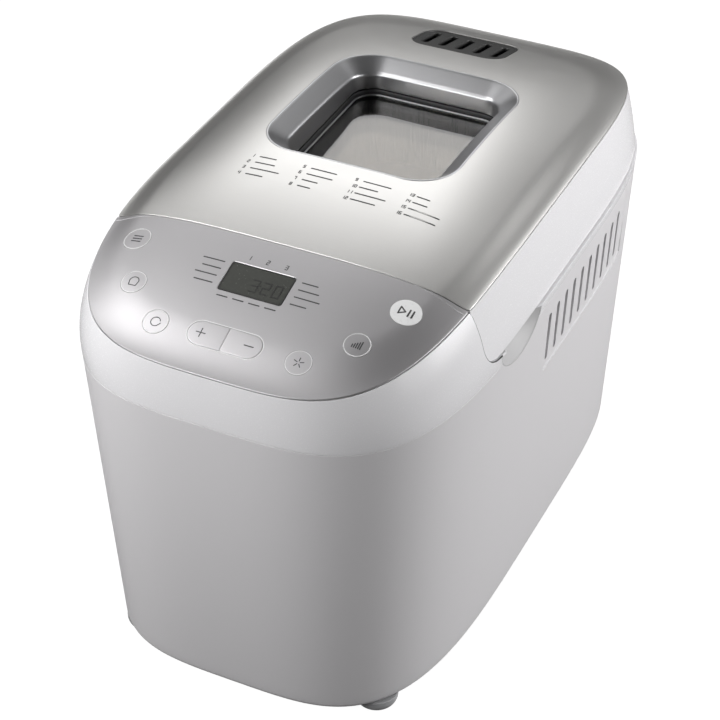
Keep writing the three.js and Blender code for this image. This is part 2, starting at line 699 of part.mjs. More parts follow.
const LINER = { flange: LID_BOTTOM + 4, ceiling: 262, sheet: 1.2 };
const LINER_PLAN = { x: 0, y: 53, hx: 108, hy: 137, r: 34 };
const LINER_RISE = { x: 0, y: 48, hx: 84, hy: 117, r: 24 };
const INNER_OPENING = { x: 0, y: 38, hx: 58, hy: 64, r: 20 };

function lidLiner() {
  const { flange, ceiling, sheet } = LINER;
  const body = union(
    slab(roundedRect(LINER_PLAN), flange, flange + sheet),
    slab(roundedRect(LINER_RISE, sheet), flange, ceiling + sheet),
  );
  const hollow = slab(roundedRect(LINER_RISE), flange - 5, ceiling);
  const vent = slab(roundedRect({ x: 0, y: 146, hx: 30, hy: 4, r: 3.9 }), 200, 300, 3);
  return mesh('lid_liner', cut(body, hollow, vent, slab(roundedRect(INNER_OPENING), 200, 300)), sheetSteel);
}

function innerGlass() {
  const z = LINER.ceiling + LINER.sheet + GAP;
  return mesh('inner_glass', slab(roundedRect(INNER_OPENING, 4), z, z + GLASS_THICKNESS), windowGlass);
}

function lidSeal() {
  const ring = slab(roundedRect(LINER_RISE, 12), LID_BOTTOM + 1.9, LINER.flange - GAP);
  return mesh('lid_seal', cut(ring, slab(roundedRect(LINER_RISE, 6), 200, 300)), siliconeSeal);
}

function steamGrille() {
  const plate = cut(topPlate(0, 1, 3.5), box(-300, 300, -300, 300, 0, 200));
  let grille = plate.intersect(slab(roundedRect(GRILLE, -GAP), 250, 330, 3));
  for (let i = 0; i < GRILLE_SLOTS; i++) {
    const x = GRILLE.x + (i - (GRILLE_SLOTS - 1) / 2) * GRILLE_SLOT_PITCH;
    const slot = roundedRect({ x, y: GRILLE.y, hx: 2.1, hy: 13.5, r: 2 });
    grille = cut(grille, slab(slot, 250, 330, 1));
  }
  return mesh('steam_grille', grille, darkGrille);
}

// ---------------------------------------------------------------- baking chamber parts

function chamberRim() {
  const z = LID_BOTTOM - LID_REVEAL + GAP;
  const flange = slab(roundedRect(CHAMBER, 10.5), z, z + 1.6);
  return mesh('chamber_rim', cut(flange, slab(roundedRect(CHAMBER, -3), 200, 300)), sheetSteel);
}

const HEATER = { z: 78, r: 3.2, hx: 80, hy: 108, corner: 22, lead: 12 };
const SENSOR = { y: 20, z: 120, r: 3 };

function bakingChamber() {
  const top = LID_BOTTOM - LID_REVEAL;
  let chamber = cut(
    slab(roundedRect(CHAMBER), CHAMBER_FLOOR, top),
    slab(roundedRect(CHAMBER, -SHEET), CHAMBER_FLOOR + SHEET, top + 5),
  );
  for (const y of DRIVE_Y) chamber = cut(chamber, postZ(0, y, 8 + 2 * GAP, 40, 60, 12));
  for (const x of [-HEATER.lead, HEATER.lead]) {
    chamber = cut(chamber, rodY(x, HEATER.z, HEATER.r + 2 * GAP, -80, -60, 12));
  }
  chamber = cut(chamber, rodX(SENSOR.y, SENSOR.z, SENSOR.r + GAP, 80, 100, 12));
  return mesh('baking_chamber', chamber, sheetSteel);
}

function heatingElement() {
  const { z, r, hx, hy, corner, lead } = HEATER;
  const at = (x, y) => new THREE.Vector3(x, CHAMBER.y + y, z);
  const points = [at(lead, -hy - 22), at(lead, -hy - 6), at(lead + 8, -hy)];
  const corners = [[hx, -hy, -90], [hx, hy, 0], [-hx, hy, 90], [-hx, -hy, 180]];
  for (const [cx, cy, start] of corners) {
    for (const turn of [0, 45, 90]) {
      const angle = THREE.MathUtils.degToRad(start + turn);
      const x = cx - Math.sign(cx) * corner + corner * Math.cos(angle);
      const y = cy - Math.sign(cy) * corner + corner * Math.sin(angle);
      points.push(at(x, y));
    }
  }
  points.push(at(-lead - 8, -hy), at(-lead, -hy - 6), at(-lead, -hy - 22));
  const smooth = new THREE.CatmullRomCurve3(points, false, 'centripetal');
  const section = new THREE.Shape();
  section.absarc(0, 0, r, 0, 2 * Math.PI);
  const geometry = new THREE.ExtrudeGeometry(section, { extrudePath: smooth, steps: 40, curveSegments: 3 });
  return mesh('heating_element', solid(geometry), heaterSheath);
}

function temperatureSensor() {
  const body = union(
    rodX(SENSOR.y, SENSOR.z, SENSOR.r, 80, 100, 12),
    rodX(SENSOR.y, SENSOR.z, SENSOR.r + 3, 92.5, 96, 12),
  );
  return mesh('temperature_sensor', body, machinedSteel);
}

function panSeat() {
  const z = CHAMBER_FLOOR + SHEET + GAP;
  let seat = cut(
    slab(roundedRect({ ...PAN, hx: 56, hy: 92, r: 16 }), z, z + 7),
    slab(roundedRect({ ...PAN, hx: 53.5, hy: 89.5, r: 14 }), z + 1.6, z + 20),
  );
  for (const y of DRIVE_Y) seat = cut(seat, postZ(0, y, 16, 40, 80));
  return mesh('pan_seat', seat, sheetSteel);
}

function panForm(inset, z0, z1) {
  const ring = (z) => {
    const t = (z - PAN_FLOOR) / (PAN_RIM - PAN_FLOOR);
    const rect = { ...PAN, hx: PAN.hx - PAN_TAPER * (1 - t), hy: PAN.hy - PAN_TAPER * (1 - t) };
    return outlinePoints(rect, -inset).map(({ x, y }) => [x, y, z]);
  };
  return loft([ring(z0), ring(z1)]);
}

function breadPan() {
  let pan = union(
    cut(panForm(0, PAN_FLOOR, PAN_RIM), panForm(SHEET, PAN_FLOOR + SHEET, PAN_RIM + 5)),
    cut(slab(roundedRect(PAN, 2.5), PAN_RIM - 3, PAN_RIM), panForm(0.2, PAN_RIM - 10, PAN_RIM + 5)),
  );
  const skirt = cut(
    slab(roundedRect({ ...PAN, hx: 50, hy: 86, r: 14 }), PAN_FLOOR - 5, PAN_FLOOR + 0.5),
    slab(roundedRect({ ...PAN, hx: 48, hy: 84, r: 12 }), PAN_FLOOR - 10, PAN_FLOOR + 5),
  );
  pan = union(pan, skirt);
  for (const y of DRIVE_Y) {
    pan = cut(union(pan, postZ(0, y, 11, PAN_FLOOR, PAN_FLOOR + 9, 12)), postZ(0, y, SHAFT_RADIUS + GAP, 50, 90, 10));
  }
  for (const side of [-1, 1]) {
    const y = PAN.y + side * PAN.hy;
    const ear = union(
      box(-8, 8, y - 1.2, y + 1.2, PAN_RIM - 6, HANDLE_Z),
      rodY(0, HANDLE_Z, 8, y - 1.2, y + 1.2, 12),
    );
    pan = cut(union(pan, ear), rodY(0, HANDLE_Z, HANDLE_ROD + 2 * GAP, y - 5, y + 5, 10));
  }
  return mesh('bread_pan', pan, panCoating);
}

function panHandle() {
  const end = PAN.hy + 6.5;
  const bend = 12;
  const at = (x, y) => new THREE.Vector3(x, PAN.y + y, HANDLE_Z);
  const half = [at(0, end - 12), at(0, end - 4), at(2.5, end - 0.8), at(7, end), at(HANDLE_ARM - bend, end)];
  const turned = [at(HANDLE_ARM - 3.5, end - 3.5), at(HANDLE_ARM, end - bend), at(HANDLE_ARM, end / 3)];
  const near = [...half, ...turned];
  const mirror = near.map((p) => new THREE.Vector3(p.x, 2 * PAN.y - p.y, p.z)).reverse();
  const curve = new THREE.CatmullRomCurve3([...near, ...mirror], false, 'centripetal');
  const section = new THREE.Shape();
  section.absarc(0, 0, HANDLE_ROD, 0, 2 * Math.PI);
  const geometry = new THREE.ExtrudeGeometry(section, { extrudePath: curve, steps: 36, curveSegments: 3 });
  return mesh('pan_handle', solid(geometry), machinedSteel);
}

// ---------------------------------------------------------------- drive parts, one set for each paddle

function latheZ(profile, sides) {
  const geometry = new THREE.LatheGeometry(profile.map(([r, z]) => new THREE.Vector2(r, z)), sides);
  return solid(geometry.rotateX(Math.PI / 2));
}

function placed(result, y) {
  result.position.y = y;
  return result;
}

const COUPLING_Z = 56;

function driveSet(number, y) {
  const lugs = (x, dy, z0, z1) => union(
    box(x - 2, x + 2, dy - 2, dy + 2, z0, z1),
    box(-x - 2, -x + 2, -dy - 2, -dy + 2, z0, z1),
  );
  const shaft = union(
    postZ(0, 0, SHAFT_RADIUS, 16.5, COUPLING_Z, 16),
    postZ(0, 0, 9, 53.5, COUPLING_Z, 16),
    lugs(6, 0, COUPLING_Z - 0.5, COUPLING_Z + 4),
  );
  const panShaft = union(
    postZ(0, 0, 9, COUPLING_Z + 4.4, COUPLING_Z + 7, 16),
    lugs(0, 6, COUPLING_Z + 0.5, COUPLING_Z + 5),
    postZ(0, 0, SHAFT_RADIUS, COUPLING_Z + 5, 92, 16),
  );
  const bearing = latheZ([
    [SHAFT_RADIUS + GAP, 45], [13, 45], [13, 49.5], [8, 49.5], [8, 53.1], [SHAFT_RADIUS + GAP, 53.1],
    [SHAFT_RADIUS + GAP, 45],
  ], 16);
  const hubTop = 96;
  const blade = sideSlab(paddleBlade(), -2, 2);
  const paddle = cut(
    union(postZ(0, 0, 8.5, PAN_FLOOR + 10, hubTop, 16), blade),
    postZ(0, 0, SHAFT_RADIUS + GAP, 60, 92.4, 16),
  );
  return [
    placed(mesh(`drive_shaft_${number}`, shaft, machinedSteel), y),
    placed(mesh(`pan_shaft_${number}`, panShaft, machinedSteel), y),
    placed(mesh(`shaft_bearing_${number}`, bearing, blackPlastic), y),
    placed(mesh(`kneading_paddle_${number}`, paddle, panCoating), y),
    placed(mesh(`timing_pulley_${number}`, timingPulley(), blackPlastic), y),
  ];
}

function paddleBlade() {
  const low = PAN_FLOOR + 10;
  const shape = new THREE.Shape();
  shape.moveTo(0, low);
  shape.lineTo(34, low);
  shape.quadraticCurveTo(38, low + 2, 36, low + 12);
  shape.quadraticCurveTo(32, low + 26, 20, low + 30);
  shape.quadraticCurveTo(8, low + 30, 0, low + 19);
  shape.closePath();
  return shape;
}

function timingPulley() {
  return latheZ([
    [SHAFT_RADIUS + GAP, TIMING_LEVEL], [TIMING_RADIUS, TIMING_LEVEL], [TIMING_RADIUS, TIMING_LEVEL + 8],
    [SHAFT_RADIUS + GAP, TIMING_LEVEL + 8], [SHAFT_RADIUS + GAP, TIMING_LEVEL],
  ], 20);
}

function drivePulley() {
  const top = BELT_LEVEL + PULLEY_WIDTH;
  const bore = SHAFT_RADIUS + GAP;
  const profile = [
    [bore, BELT_LEVEL], [11, BELT_LEVEL], [11, BELT_LEVEL + 3], [BIG_PULLEY_RADIUS - 4, BELT_LEVEL + 3],
    [BIG_PULLEY_RADIUS - 4, BELT_LEVEL], [BIG_PULLEY_RADIUS, BELT_LEVEL], [BIG_PULLEY_RADIUS, top],
    [BIG_PULLEY_RADIUS - 4, top], [BIG_PULLEY_RADIUS - 4, BELT_LEVEL + 6], [11, BELT_LEVEL + 6],
    [11, top], [bore, top], [bore, BELT_LEVEL],
  ];
  return placed(mesh('drive_pulley', latheZ(profile, 20), blackPlastic), DRIVE_Y[0]);
}

// The loop of a belt round two pulleys on the Y axis, as a closed outline.
function beltOutline(y0, r0, y1, r1) {
  const tilt = Math.asin((r1 - r0) / (y1 - y0));
  const points = [];
  const arc = (y, r, from, to) => {
    const count = r > 2 * SMALL_PULLEY_RADIUS ? 16 : 8;
    for (let i = 0; i <= count; i++) {
      const angle = from + ((to - from) * i) / count;
      points.push(new THREE.Vector2(r * Math.cos(angle), y + r * Math.sin(angle)));
    }
  };
  arc(y1, r1, -tilt, Math.PI + tilt);
  arc(y0, r0, Math.PI + tilt, 2 * Math.PI - tilt);
  return points;
}

function belt(name, y0, r0, y1, r1, z0, z1) {
  const shape = new THREE.Shape(beltOutline(y0, r0 + BELT_THICKNESS + GAP, y1, r1 + BELT_THICKNESS + GAP));
  shape.holes.push(new THREE.Path(beltOutline(y0, r0 + GAP, y1, r1 + GAP)));
  return mesh(name, slab(shape, z0, z1), beltRubber);
}

function motorBody() {
  const body = union(
    postZ(0, MOTOR.y, MOTOR.r, MOTOR.z0, MOTOR.z1, 28),
    postZ(0, MOTOR.y, 12, MOTOR.z1 - 1, MOTOR.z1 + 8, 16),
  );
  return mesh('motor_body', cut(body, postZ(0, MOTOR.y, 3 + GAP, 40, MOTOR.z0 + 12, 12)), machinedSteel);
}

function motorRotor() {
  const rotor = union(
    postZ(0, 0, 3, 19, MOTOR.z0 + 10, 12),
    postZ(0, 0, SMALL_PULLEY_RADIUS, BELT_LEVEL, BELT_LEVEL + PULLEY_WIDTH, 20),
  );
  return placed(mesh('motor_rotor', rotor, machinedSteel), MOTOR.y);
}

function motorBracket() {
  const z1 = MOTOR.z0 - GAP;
  let bracket = slab(roundedRect({ x: 0, y: MOTOR.y, hx: 50, hy: 34, r: 6 }), z1 - 3, z1, 3);
  for (const x of [-43, 43]) {
    for (const dy of [-27, 27]) {
      bracket = union(bracket, postZ(x, MOTOR.y + dy, 4.5, BASE_PLATE_Z + BASE_PLATE_THICKNESS + GAP, z1 - 2, 8));
    }
  }
  return mesh('motor_bracket', cut(bracket, postZ(0, MOTOR.y, 8, 0, 80, 16)), sheetSteel);
}

// ---------------------------------------------------------------- assembly

const lid = new THREE.Group();
lid.name = 'lid_group';
lid.add(
  lidFrame(), lidSkin(), windowBezel(), windowGasket(), outerGlass(), innerGlass(), lidLiner(), lidSeal(),
  steamGrille(),
);

const controls = new THREE.Group();
controls.name = 'control_group';
controls.add(controlFascia(), lcdLens(), lcdModule(), controlBoard(), ...buttons());

const oven = new THREE.Group();
oven.name = 'oven_group';
oven.add(
  chamberRim(), bakingChamber(), heatingElement(), temperatureSensor(), panSeat(), breadPan(), panHandle(),
);

const drive = new THREE.Group();
drive.name = 'drive_group';
DRIVE_Y.forEach((y, i) => drive.add(...driveSet(i + 1, y)));
drive.add(
  drivePulley(),
  belt('drive_belt', MOTOR.y, SMALL_PULLEY_RADIUS, DRIVE_Y[0], BIG_PULLEY_RADIUS, BELT_LEVEL + 1,
    BELT_LEVEL + PULLEY_WIDTH - 1),
  belt('timing_belt', DRIVE_Y[0], TIMING_RADIUS, DRIVE_Y[1], TIMING_RADIUS, TIMING_LEVEL + 0.5,
    TIMING_LEVEL + 7.5),
  motorBody(), motorRotor(), motorBracket(),
);

const breadMachine = new THREE.Group();
breadMachine.name = 'bread_machine';
breadMachine.add(
  bodyShell(), collarFrame(), basePlate(), powerBoard(), cableInlet(),
  hingePin('hinge_pin_left', -HINGE_X), hingePin('hinge_pin_right', HINGE_X),
  lid, controls, oven, drive,
);
FEET.forEach((at, i) => breadMachine.add(foot(i + 1, at)));
BASE_SCREWS.forEach((at, i) => breadMachine.add(baseScrew(i + 1, at)));

export default breadMachine;
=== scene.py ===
import json
import math

import bmesh
import bpy
import numpy as np
from mathutils import Matrix, Vector


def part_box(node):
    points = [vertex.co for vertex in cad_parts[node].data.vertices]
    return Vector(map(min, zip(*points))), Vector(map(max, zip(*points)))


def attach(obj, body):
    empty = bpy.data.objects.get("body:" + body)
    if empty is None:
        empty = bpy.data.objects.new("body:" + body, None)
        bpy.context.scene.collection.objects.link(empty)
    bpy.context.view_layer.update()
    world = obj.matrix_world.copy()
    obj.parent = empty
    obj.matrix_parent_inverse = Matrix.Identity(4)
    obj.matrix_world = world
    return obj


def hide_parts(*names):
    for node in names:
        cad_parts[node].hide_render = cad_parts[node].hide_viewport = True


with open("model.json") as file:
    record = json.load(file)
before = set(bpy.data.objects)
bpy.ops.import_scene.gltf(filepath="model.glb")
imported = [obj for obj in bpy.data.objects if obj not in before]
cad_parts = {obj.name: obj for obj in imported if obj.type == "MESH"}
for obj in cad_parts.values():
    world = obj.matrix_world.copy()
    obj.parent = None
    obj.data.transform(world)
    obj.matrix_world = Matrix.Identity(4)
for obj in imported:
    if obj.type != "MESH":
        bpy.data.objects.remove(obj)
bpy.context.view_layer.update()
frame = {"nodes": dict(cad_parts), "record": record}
MM = 0.001

# ---------------------------------------------------------------- driving dimensions of the casing

TOP_HALF_WIDTH = 122.0
TOP_HALF_DEPTH = 215.5
FRONT_POWER = 3.7
BACK_POWER = 4.8
EDGE_HEIGHT = 283.4
EDGE_LEVEL_HALF = 50.0
EDGE_FALL_SPAN = 160.0
EDGE_FALL_FRONT = 18.0
EDGE_FALL_BACK = 10.7
CROWN = 23.1
CROWN_POWER_X = 3.6
CROWN_POWER_Y = 1.9
CROWN_BLEND = 0.15

SEAM_HEIGHT = 227.3
FLARE_SIDE = 10.0
FLARE_END = 1.2
SHOULDER_POWER = 2.6
LID_BOTTOM = 234.6
LID_FLARE_SIDE = 8.6
LID_FLARE_END = 1.1
LID_FLARE_POWER = 1.4

FOOT_HEIGHT = 8.0
BASE_HALF_WIDTH = 121.2
BASE_HALF_DEPTH = 208.5
BASE_EDGE_RADIUS = 6.0
WALL = 2.6
SKIN = 1.5

LID_FRONT_EDGE = (-112.4, 277.0)
LID_FRONT_SLOPE = -0.3
LID_CORNER = (-88.0, 256.0)
LID_CORNER_RY = 23.2
LID_REVEAL = 0.8
DECK_TOP = LID_BOTTOM - LID_REVEAL
TOP_DROP = 1.15  # from the dome's edge down to the top of the walls
EDGE_GAP = 0.5
SCOOP_DEPTH = 9.0
SCOOP_BEHIND = 0.3
# How far the dark strip of painted shade in the lid's side gap sits inside the housing's face.
GAP_SHADE_INSET = 0.14

WINDOW = dict(x=0.0, y=37.7, hx=65.9, hy=73.0, r=29.0)
WELL_BOTTOM = 279.5
RIDGE_DEPTH = 9.0
GRILLE = dict(x=-7.5, y=169.5, hx=34.8, hy=22.5, r=13.0)
GRILLE_SLOTS = 5
GRILLE_SLOT_PITCH = 12.9
SCOOP = dict(y=-59.5, z=LID_BOTTOM + 1, ry=29.5, rz=19.0)
HINGE_Y = 210.5
HINGE_Z = 239.0
HINGE_X = 58.0
KNUCKLE_RADIUS = 3.4
KNUCKLE_HALF = 6.0
LCD = dict(x=-1.4, y=-150.0, hx=21.3, hy=11.3)
PILL = dict(x=-1.3, y=-190.6, hx=24.0, r=8.0)
BUTTON_HEIGHT = 4.5


def node_box(name):
    """Lowest and highest corner of a CAD node, in millimetres."""
    low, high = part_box(name)
    return np.array(low) / MM, np.array(high) / MM


# ---------------------------------------------------------------- finishes


def finish(
    name, color, roughness, metallic=0.0, tone=0.03, rough_spread=0.04, grain=900.0,
    stretch=(1, 1, 1), bump=0.02, bump_depth=0.05, coat=0.0, coat_roughness=0.1,
    transmission=0.0, ior=1.5, specular=0.5,
):
    """A procedural material: grain that varies the colour and the roughness and raises the surface."""
    material = bpy.data.materials.new(name)
    material.use_nodes = True
    tree = material.node_tree
    shader = tree.nodes["Principled BSDF"]
    shader.inputs["Metallic"].default_value = metallic
    shader.inputs["Coat Weight"].default_value = coat
    shader.inputs["Coat Roughness"].default_value = coat_roughness
    shader.inputs["Transmission Weight"].default_value = transmission
    shader.inputs["IOR"].default_value = ior
    shader.inputs["Specular IOR Level"].default_value = specular
    place = tree.nodes.new("ShaderNodeTexCoord")
    scale = tree.nodes.new("ShaderNodeMapping")
    scale.inputs["Scale"].default_value = stretch
    tree.links.new(place.outputs["Object"], scale.inputs["Vector"])
    noise = tree.nodes.new("ShaderNodeTexNoise")
    noise.inputs["Scale"].default_value = grain
    noise.inputs["Detail"].default_value = 3.0
    tree.links.new(scale.outputs["Vector"], noise.inputs["Vector"])
    mix = tree.nodes.new("ShaderNodeMix")
    mix.data_type = "RGBA"
    mix.inputs["A"].default_value = (*[c * (1 - tone) for c in color], 1)
    mix.inputs["B"].default_value = (*[min(1, c * (1 + tone)) for c in color], 1)
    tree.links.new(noise.outputs["Fac"], mix.inputs["Factor"])
    tree.links.new(mix.outputs["Result"], shader.inputs["Base Color"])
    spread = tree.nodes.new("ShaderNodeMapRange")
    spread.inputs["From Min"].default_value = 0.3
    spread.inputs["From Max"].default_value = 0.7
    spread.inputs["To Min"].default_value = max(0.01, roughness - rough_spread)
    spread.inputs["To Max"].default_value = roughness + rough_spread
    tree.links.new(noise.outputs["Fac"], spread.inputs["Value"])
    tree.links.new(spread.outputs["Result"], shader.inputs["Roughness"])
    raised = tree.nodes.new("ShaderNodeBump")
    raised.inputs["Strength"].default_value = bump
    raised.inputs["Distance"].default_value = bump_depth * MM
    tree.links.new(noise.outputs["Fac"], raised.inputs["Height"])
    tree.links.new(raised.outputs["Normal"], shader.inputs["Normal"])
    return material


ALONG_X = (0.02, 1.0, 1.0)
ALONG_Z = (1.0, 1.0, 0.03)
LOOKS = {
    "brushed_top": finish("brushed_top", (0.585, 0.578, 0.565), 0.38, 0.92, tone=0.05, rough_spread=0.05,
                          grain=2600, stretch=ALONG_X, bump=0.05, bump_depth=0.02),
    "satin_silver": finish("satin_silver", (0.47, 0.46, 0.47), 0.42, 0.8, tone=0.06, rough_spread=0.05,
                           grain=2400, bump=0.06, bump_depth=0.02),
    "bezel_silver": finish("bezel_silver", (0.45, 0.45, 0.46), 0.33, 0.9, tone=0.04, rough_spread=0.03,
                           grain=1800, bump=0.03, bump_depth=0.02),
    "gloss_white": finish("gloss_white", (0.82, 0.812, 0.828), 0.27, tone=0.012, rough_spread=0.006,
                          grain=1500, bump=0.03, bump_depth=0.02, coat=0.1, coat_roughness=0.2, specular=0.4),
    "satin_white": finish("satin_white", (0.70, 0.687, 0.70), 0.42, tone=0.015, rough_spread=0.03,
                          grain=1500, bump=0.05, bump_depth=0.03),
    # The finger scoops are the body's white plastic; this darker grey is painted shade for the recess.
    "scoop_painted_shade": finish("scoop_painted_shade", (0.48, 0.475, 0.48), 0.5, tone=0.015, rough_spread=0.03,
                         grain=1500, bump=0.05, bump_depth=0.03),
    "grey_rubber": finish("grey_rubber", (0.40, 0.40, 0.41), 0.75, grain=1200, bump=0.2, tone=0.08),
    "dark_grille": finish("dark_grille", (0.034, 0.034, 0.033), 0.42, grain=1600, bump=0.12, tone=0.1),
    "lcd_grey": finish("lcd_grey", (0.045, 0.047, 0.041), 0.24, tone=0.12, grain=500, bump=0.0),
    "lcd_dark": finish("lcd_dark", (0.015, 0.015, 0.014), 0.35, tone=0.1, grain=900, bump=0.0),
    "button_silver": finish("button_silver", (0.47, 0.46, 0.47), 0.42, 0.8, tone=0.06, rough_spread=0.05,
                            grain=2400, bump=0.06, bump_depth=0.02),
    "ring_grey": finish("ring_grey", (0.72, 0.72, 0.72), 0.45, tone=0.03, grain=900, bump=0.02),
    "start_white": finish("start_white", (0.80, 0.80, 0.80), 0.30, tone=0.015, grain=700, bump=0.02),
    "print_grey": finish("print_grey", (0.05, 0.05, 0.05), 0.55, tone=0.1, grain=900, bump=0.0),
    "window_glass": finish("window_glass", (0.53, 0.50, 0.46), 0.03, tone=0.02, rough_spread=0.01, grain=60,
                           stretch=(1.0, 0.1, 1.0), bump=0.008, bump_depth=0.2, transmission=1.0, ior=1.5,
                           specular=0.24),
    "black_seal": finish("black_seal", (0.012, 0.012, 0.013), 0.5, grain=1400, bump=0.15, tone=0.1),
    "silicone_seal": finish("silicone_seal", (0.40, 0.40, 0.38), 0.5, grain=1100, bump=0.1, tone=0.05),
    "sheet_steel": finish("sheet_steel", (0.50, 0.50, 0.51), 0.3, 0.95, tone=0.06, rough_spread=0.06,
                          grain=1400, stretch=ALONG_Z, bump=0.05, bump_depth=0.03),
    "pan_coating": finish("pan_coating", (0.045, 0.045, 0.048), 0.38, 0.35, tone=0.5, rough_spread=0.08,
                          grain=2600, bump=0.1, bump_depth=0.03),
    "machined_steel": finish("machined_steel", (0.60, 0.60, 0.62), 0.26, 1.0, tone=0.04, grain=1700,
                             stretch=(0.2, 1, 1), bump=0.04, bump_depth=0.02),
    "heater_sheath": finish("heater_sheath", (0.13, 0.12, 0.11), 0.5, 0.8, tone=0.3, rough_spread=0.1,
                            grain=350, bump=0.15),
    "black_plastic": finish("black_plastic", (0.022, 0.022, 0.023), 0.5, grain=1500, bump=0.15, tone=0.1),
    "belt_rubber": finish("belt_rubber", (0.018, 0.018, 0.018), 0.7, grain=900, bump=0.3, tone=0.15),
    "circuit_board": finish("circuit_board", (0.02, 0.10, 0.04), 0.4, grain=400, bump=0.1, tone=0.3),
}


def wear(obj, slot, look=None):
    """Gives a piece its finish: the look's when one is given, else the slot's."""
    obj.data.materials.clear()
    obj.data.materials.append(LOOKS[look or slot])
    return obj


# ---------------------------------------------------------------- mesh helpers


CREASE = 38.0  # degrees between two faces from which their edge stays sharp


def unit_rows(vectors):
    length = np.linalg.norm(vectors, axis=-1, keepdims=True)
    return vectors / np.maximum(length, 1e-9)


def new_object(name, vertices, faces, crease=CREASE):
    mesh = bpy.data.meshes.new(name)
    mesh.from_pydata([tuple(p) for p in np.asarray(vertices, float) * MM], [], faces)
    mesh.validate()
    mesh.polygons.foreach_set("use_smooth", [True] * len(mesh.polygons))
    mesh.set_sharp_from_angle(angle=math.radians(crease))
    obj = bpy.data.objects.new(name, mesh)
    bpy.context.scene.collection.objects.link(obj)
    return obj


def applied(obj):
    """Puts the result of the object's modifiers in its mesh."""
    bpy.context.view_layer.update()
    evaluated = obj.evaluated_get(bpy.context.evaluated_depsgraph_get())
    mesh = bpy.data.meshes.new_from_object(evaluated)
    obj.modifiers.clear()
    obj.data = mesh
    mesh.polygons.foreach_set("use_smooth", [True] * len(mesh.polygons))
    mesh.set_sharp_from_angle(angle=math.radians(CREASE))
    return obj


def carve(obj, *cutters, solver="EXACT"):
    for cutter in cutters:
        boolean = obj.modifiers.new("carve", "BOOLEAN")
        boolean.operation = "DIFFERENCE"
        boolean.solver = solver
        boolean.object = cutter
    applied(obj)
    for cutter in cutters:
        bpy.data.objects.remove(cutter)
    return obj


def joined(name, *objs):
    """One object holding the closed bodies of several."""
    mesh = bmesh.new()
    for obj in objs:
        mesh.from_mesh(obj.data)
    result = bpy.data.meshes.new(name)
    mesh.to_mesh(result)
    mesh.free()
    for obj in objs:
        bpy.data.objects.remove(obj)
    result.polygons.foreach_set("use_smooth", [True] * len(result.polygons))
    result.set_sharp_from_angle(angle=math.radians(CREASE))
    obj = bpy.data.objects.new(name, result)
    bpy.context.scene.collection.objects.link(obj)
    return obj


def loop_faces(columns, points, ring, tube):
    """Quads between columns of points: ring closes the columns, tube closes each column on itself."""
    faces = []
    for c in range(columns if ring else columns - 1):
        d = (c + 1) % columns
        for r in range(points if tube else points - 1):
            s = (r + 1) % points
            faces.append((c * points + r, d * points + r, d * points + s, c * points + s))
    return faces


def swept_faces(columns, count, closed):
    """Faces of a profile carried round: a tube where it is closed, else a body with a cap at both ends."""
    faces = loop_faces(columns, count, True, closed)
    if not closed:
        faces.append(tuple(c * count for c in range(columns))[::-1])
        faces.append(tuple(c * count + count - 1 for c in range(columns)))
    return faces


def fan_faces(columns, count):
    """Triangles from two middle points, which follow the grid's own, to its first and last rows."""
    under, over = columns * count, columns * count + 1
    faces = []
    for c in range(columns):
        d = (c + 1) % columns
        faces.append((under, d * count, c * count))
        faces.append((over, c * count + count - 1, d * count + count - 1))
    return faces


def wall_shell(name, outer, normal, thickness=WALL, lip=0.35, ring=True, back_every=5):
    """A wall of even thickness behind a grid of points with their outward normals, with rounded rims.

    Columns run anticlockwise seen from above and rows run upwards."""
    outer = np.asarray(outer, float)

    def rim(r, sign):
        edge, facing = outer[:, r], normal[:, r]
        if ring:
            along = np.roll(edge, -1, 0) - np.roll(edge, 1, 0)
        else:
            along = np.gradient(edge, axis=0)
        outwards = sign * unit_rows(np.cross(facing, unit_rows(along)))
        room = np.linalg.norm(edge - outer[:, r - sign], axis=1, keepdims=True)
        size = np.minimum(lip, 0.8 * room)
        return [
            edge - outwards * size * (1 - math.sin(turn)) - facing * size * (1 - math.cos(turn))
            for turn in (math.radians(a) for a in (0, 22, 45, 68, 90))
        ]

    last = outer.shape[1] - 1
    loop = rim(0, -1)[::-1] + [outer[:, r] for r in range(1, last)] + rim(last, 1)
    inner = list(range(last, 0, -back_every)) + [0]
    loop += [outer[:, r] - normal[:, r] * thickness for r in inner]
    points = np.stack(loop, axis=1)
    columns, count = points.shape[:2]
    faces = loop_faces(columns, count, ring, True)
    if not ring:
        faces.append(tuple(range(count)))
        faces.append(tuple((columns - 1) * count + i for i in range(count))[::-1])
    return new_object(name, points.reshape(-1, 3), faces)


def inset_outline(points, amount):
    """A closed anticlockwise outline moved inwards by amount, or outwards where it is negative."""
    before = points - np.roll(points, 1, 0)
    after = np.roll(points, -1, 0) - points
    inward = [np.stack([-v[:, 1], v[:, 0]], 1) for v in (unit_rows(before), unit_rows(after))]
    share = 1 + np.sum(inward[0] * inward[1], axis=1, keepdims=True)
    return points + (inward[0] + inward[1]) / np.maximum(share, 0.3) * amount


SHARP_TURN = 40


def corner_rounded(points, radius):
    """An outline whose sharp corners are rounded; the points next to a corner make way for it."""
    count = len(points)
    turns = []
    for i in range(count):
        before, after = points[i] - points[i - 1], points[(i + 1) % count] - points[i]
        turn = math.atan2(before[0] * after[1] - before[1] * after[0], float(before @ after))
        turns.append(abs(math.degrees(turn)) > SHARP_TURN)
    corners = [points[i] for i in range(count) if turns[i]]
    result = []
    for i in range(count):
        here = points[i]
        if turns[i]:
            before = unit_rows(points[i - 3] - here)
            after = unit_rows(points[(i + 3) % count] - here)
            for k in range(7):
                t = k / 6
                result.append(here + before * radius * (1 - t) ** 2 + after * radius * t ** 2)
        elif all(np.linalg.norm(here - corner) > radius * 1.15 for corner in corners):
            result.append(here)
    return np.array(result)


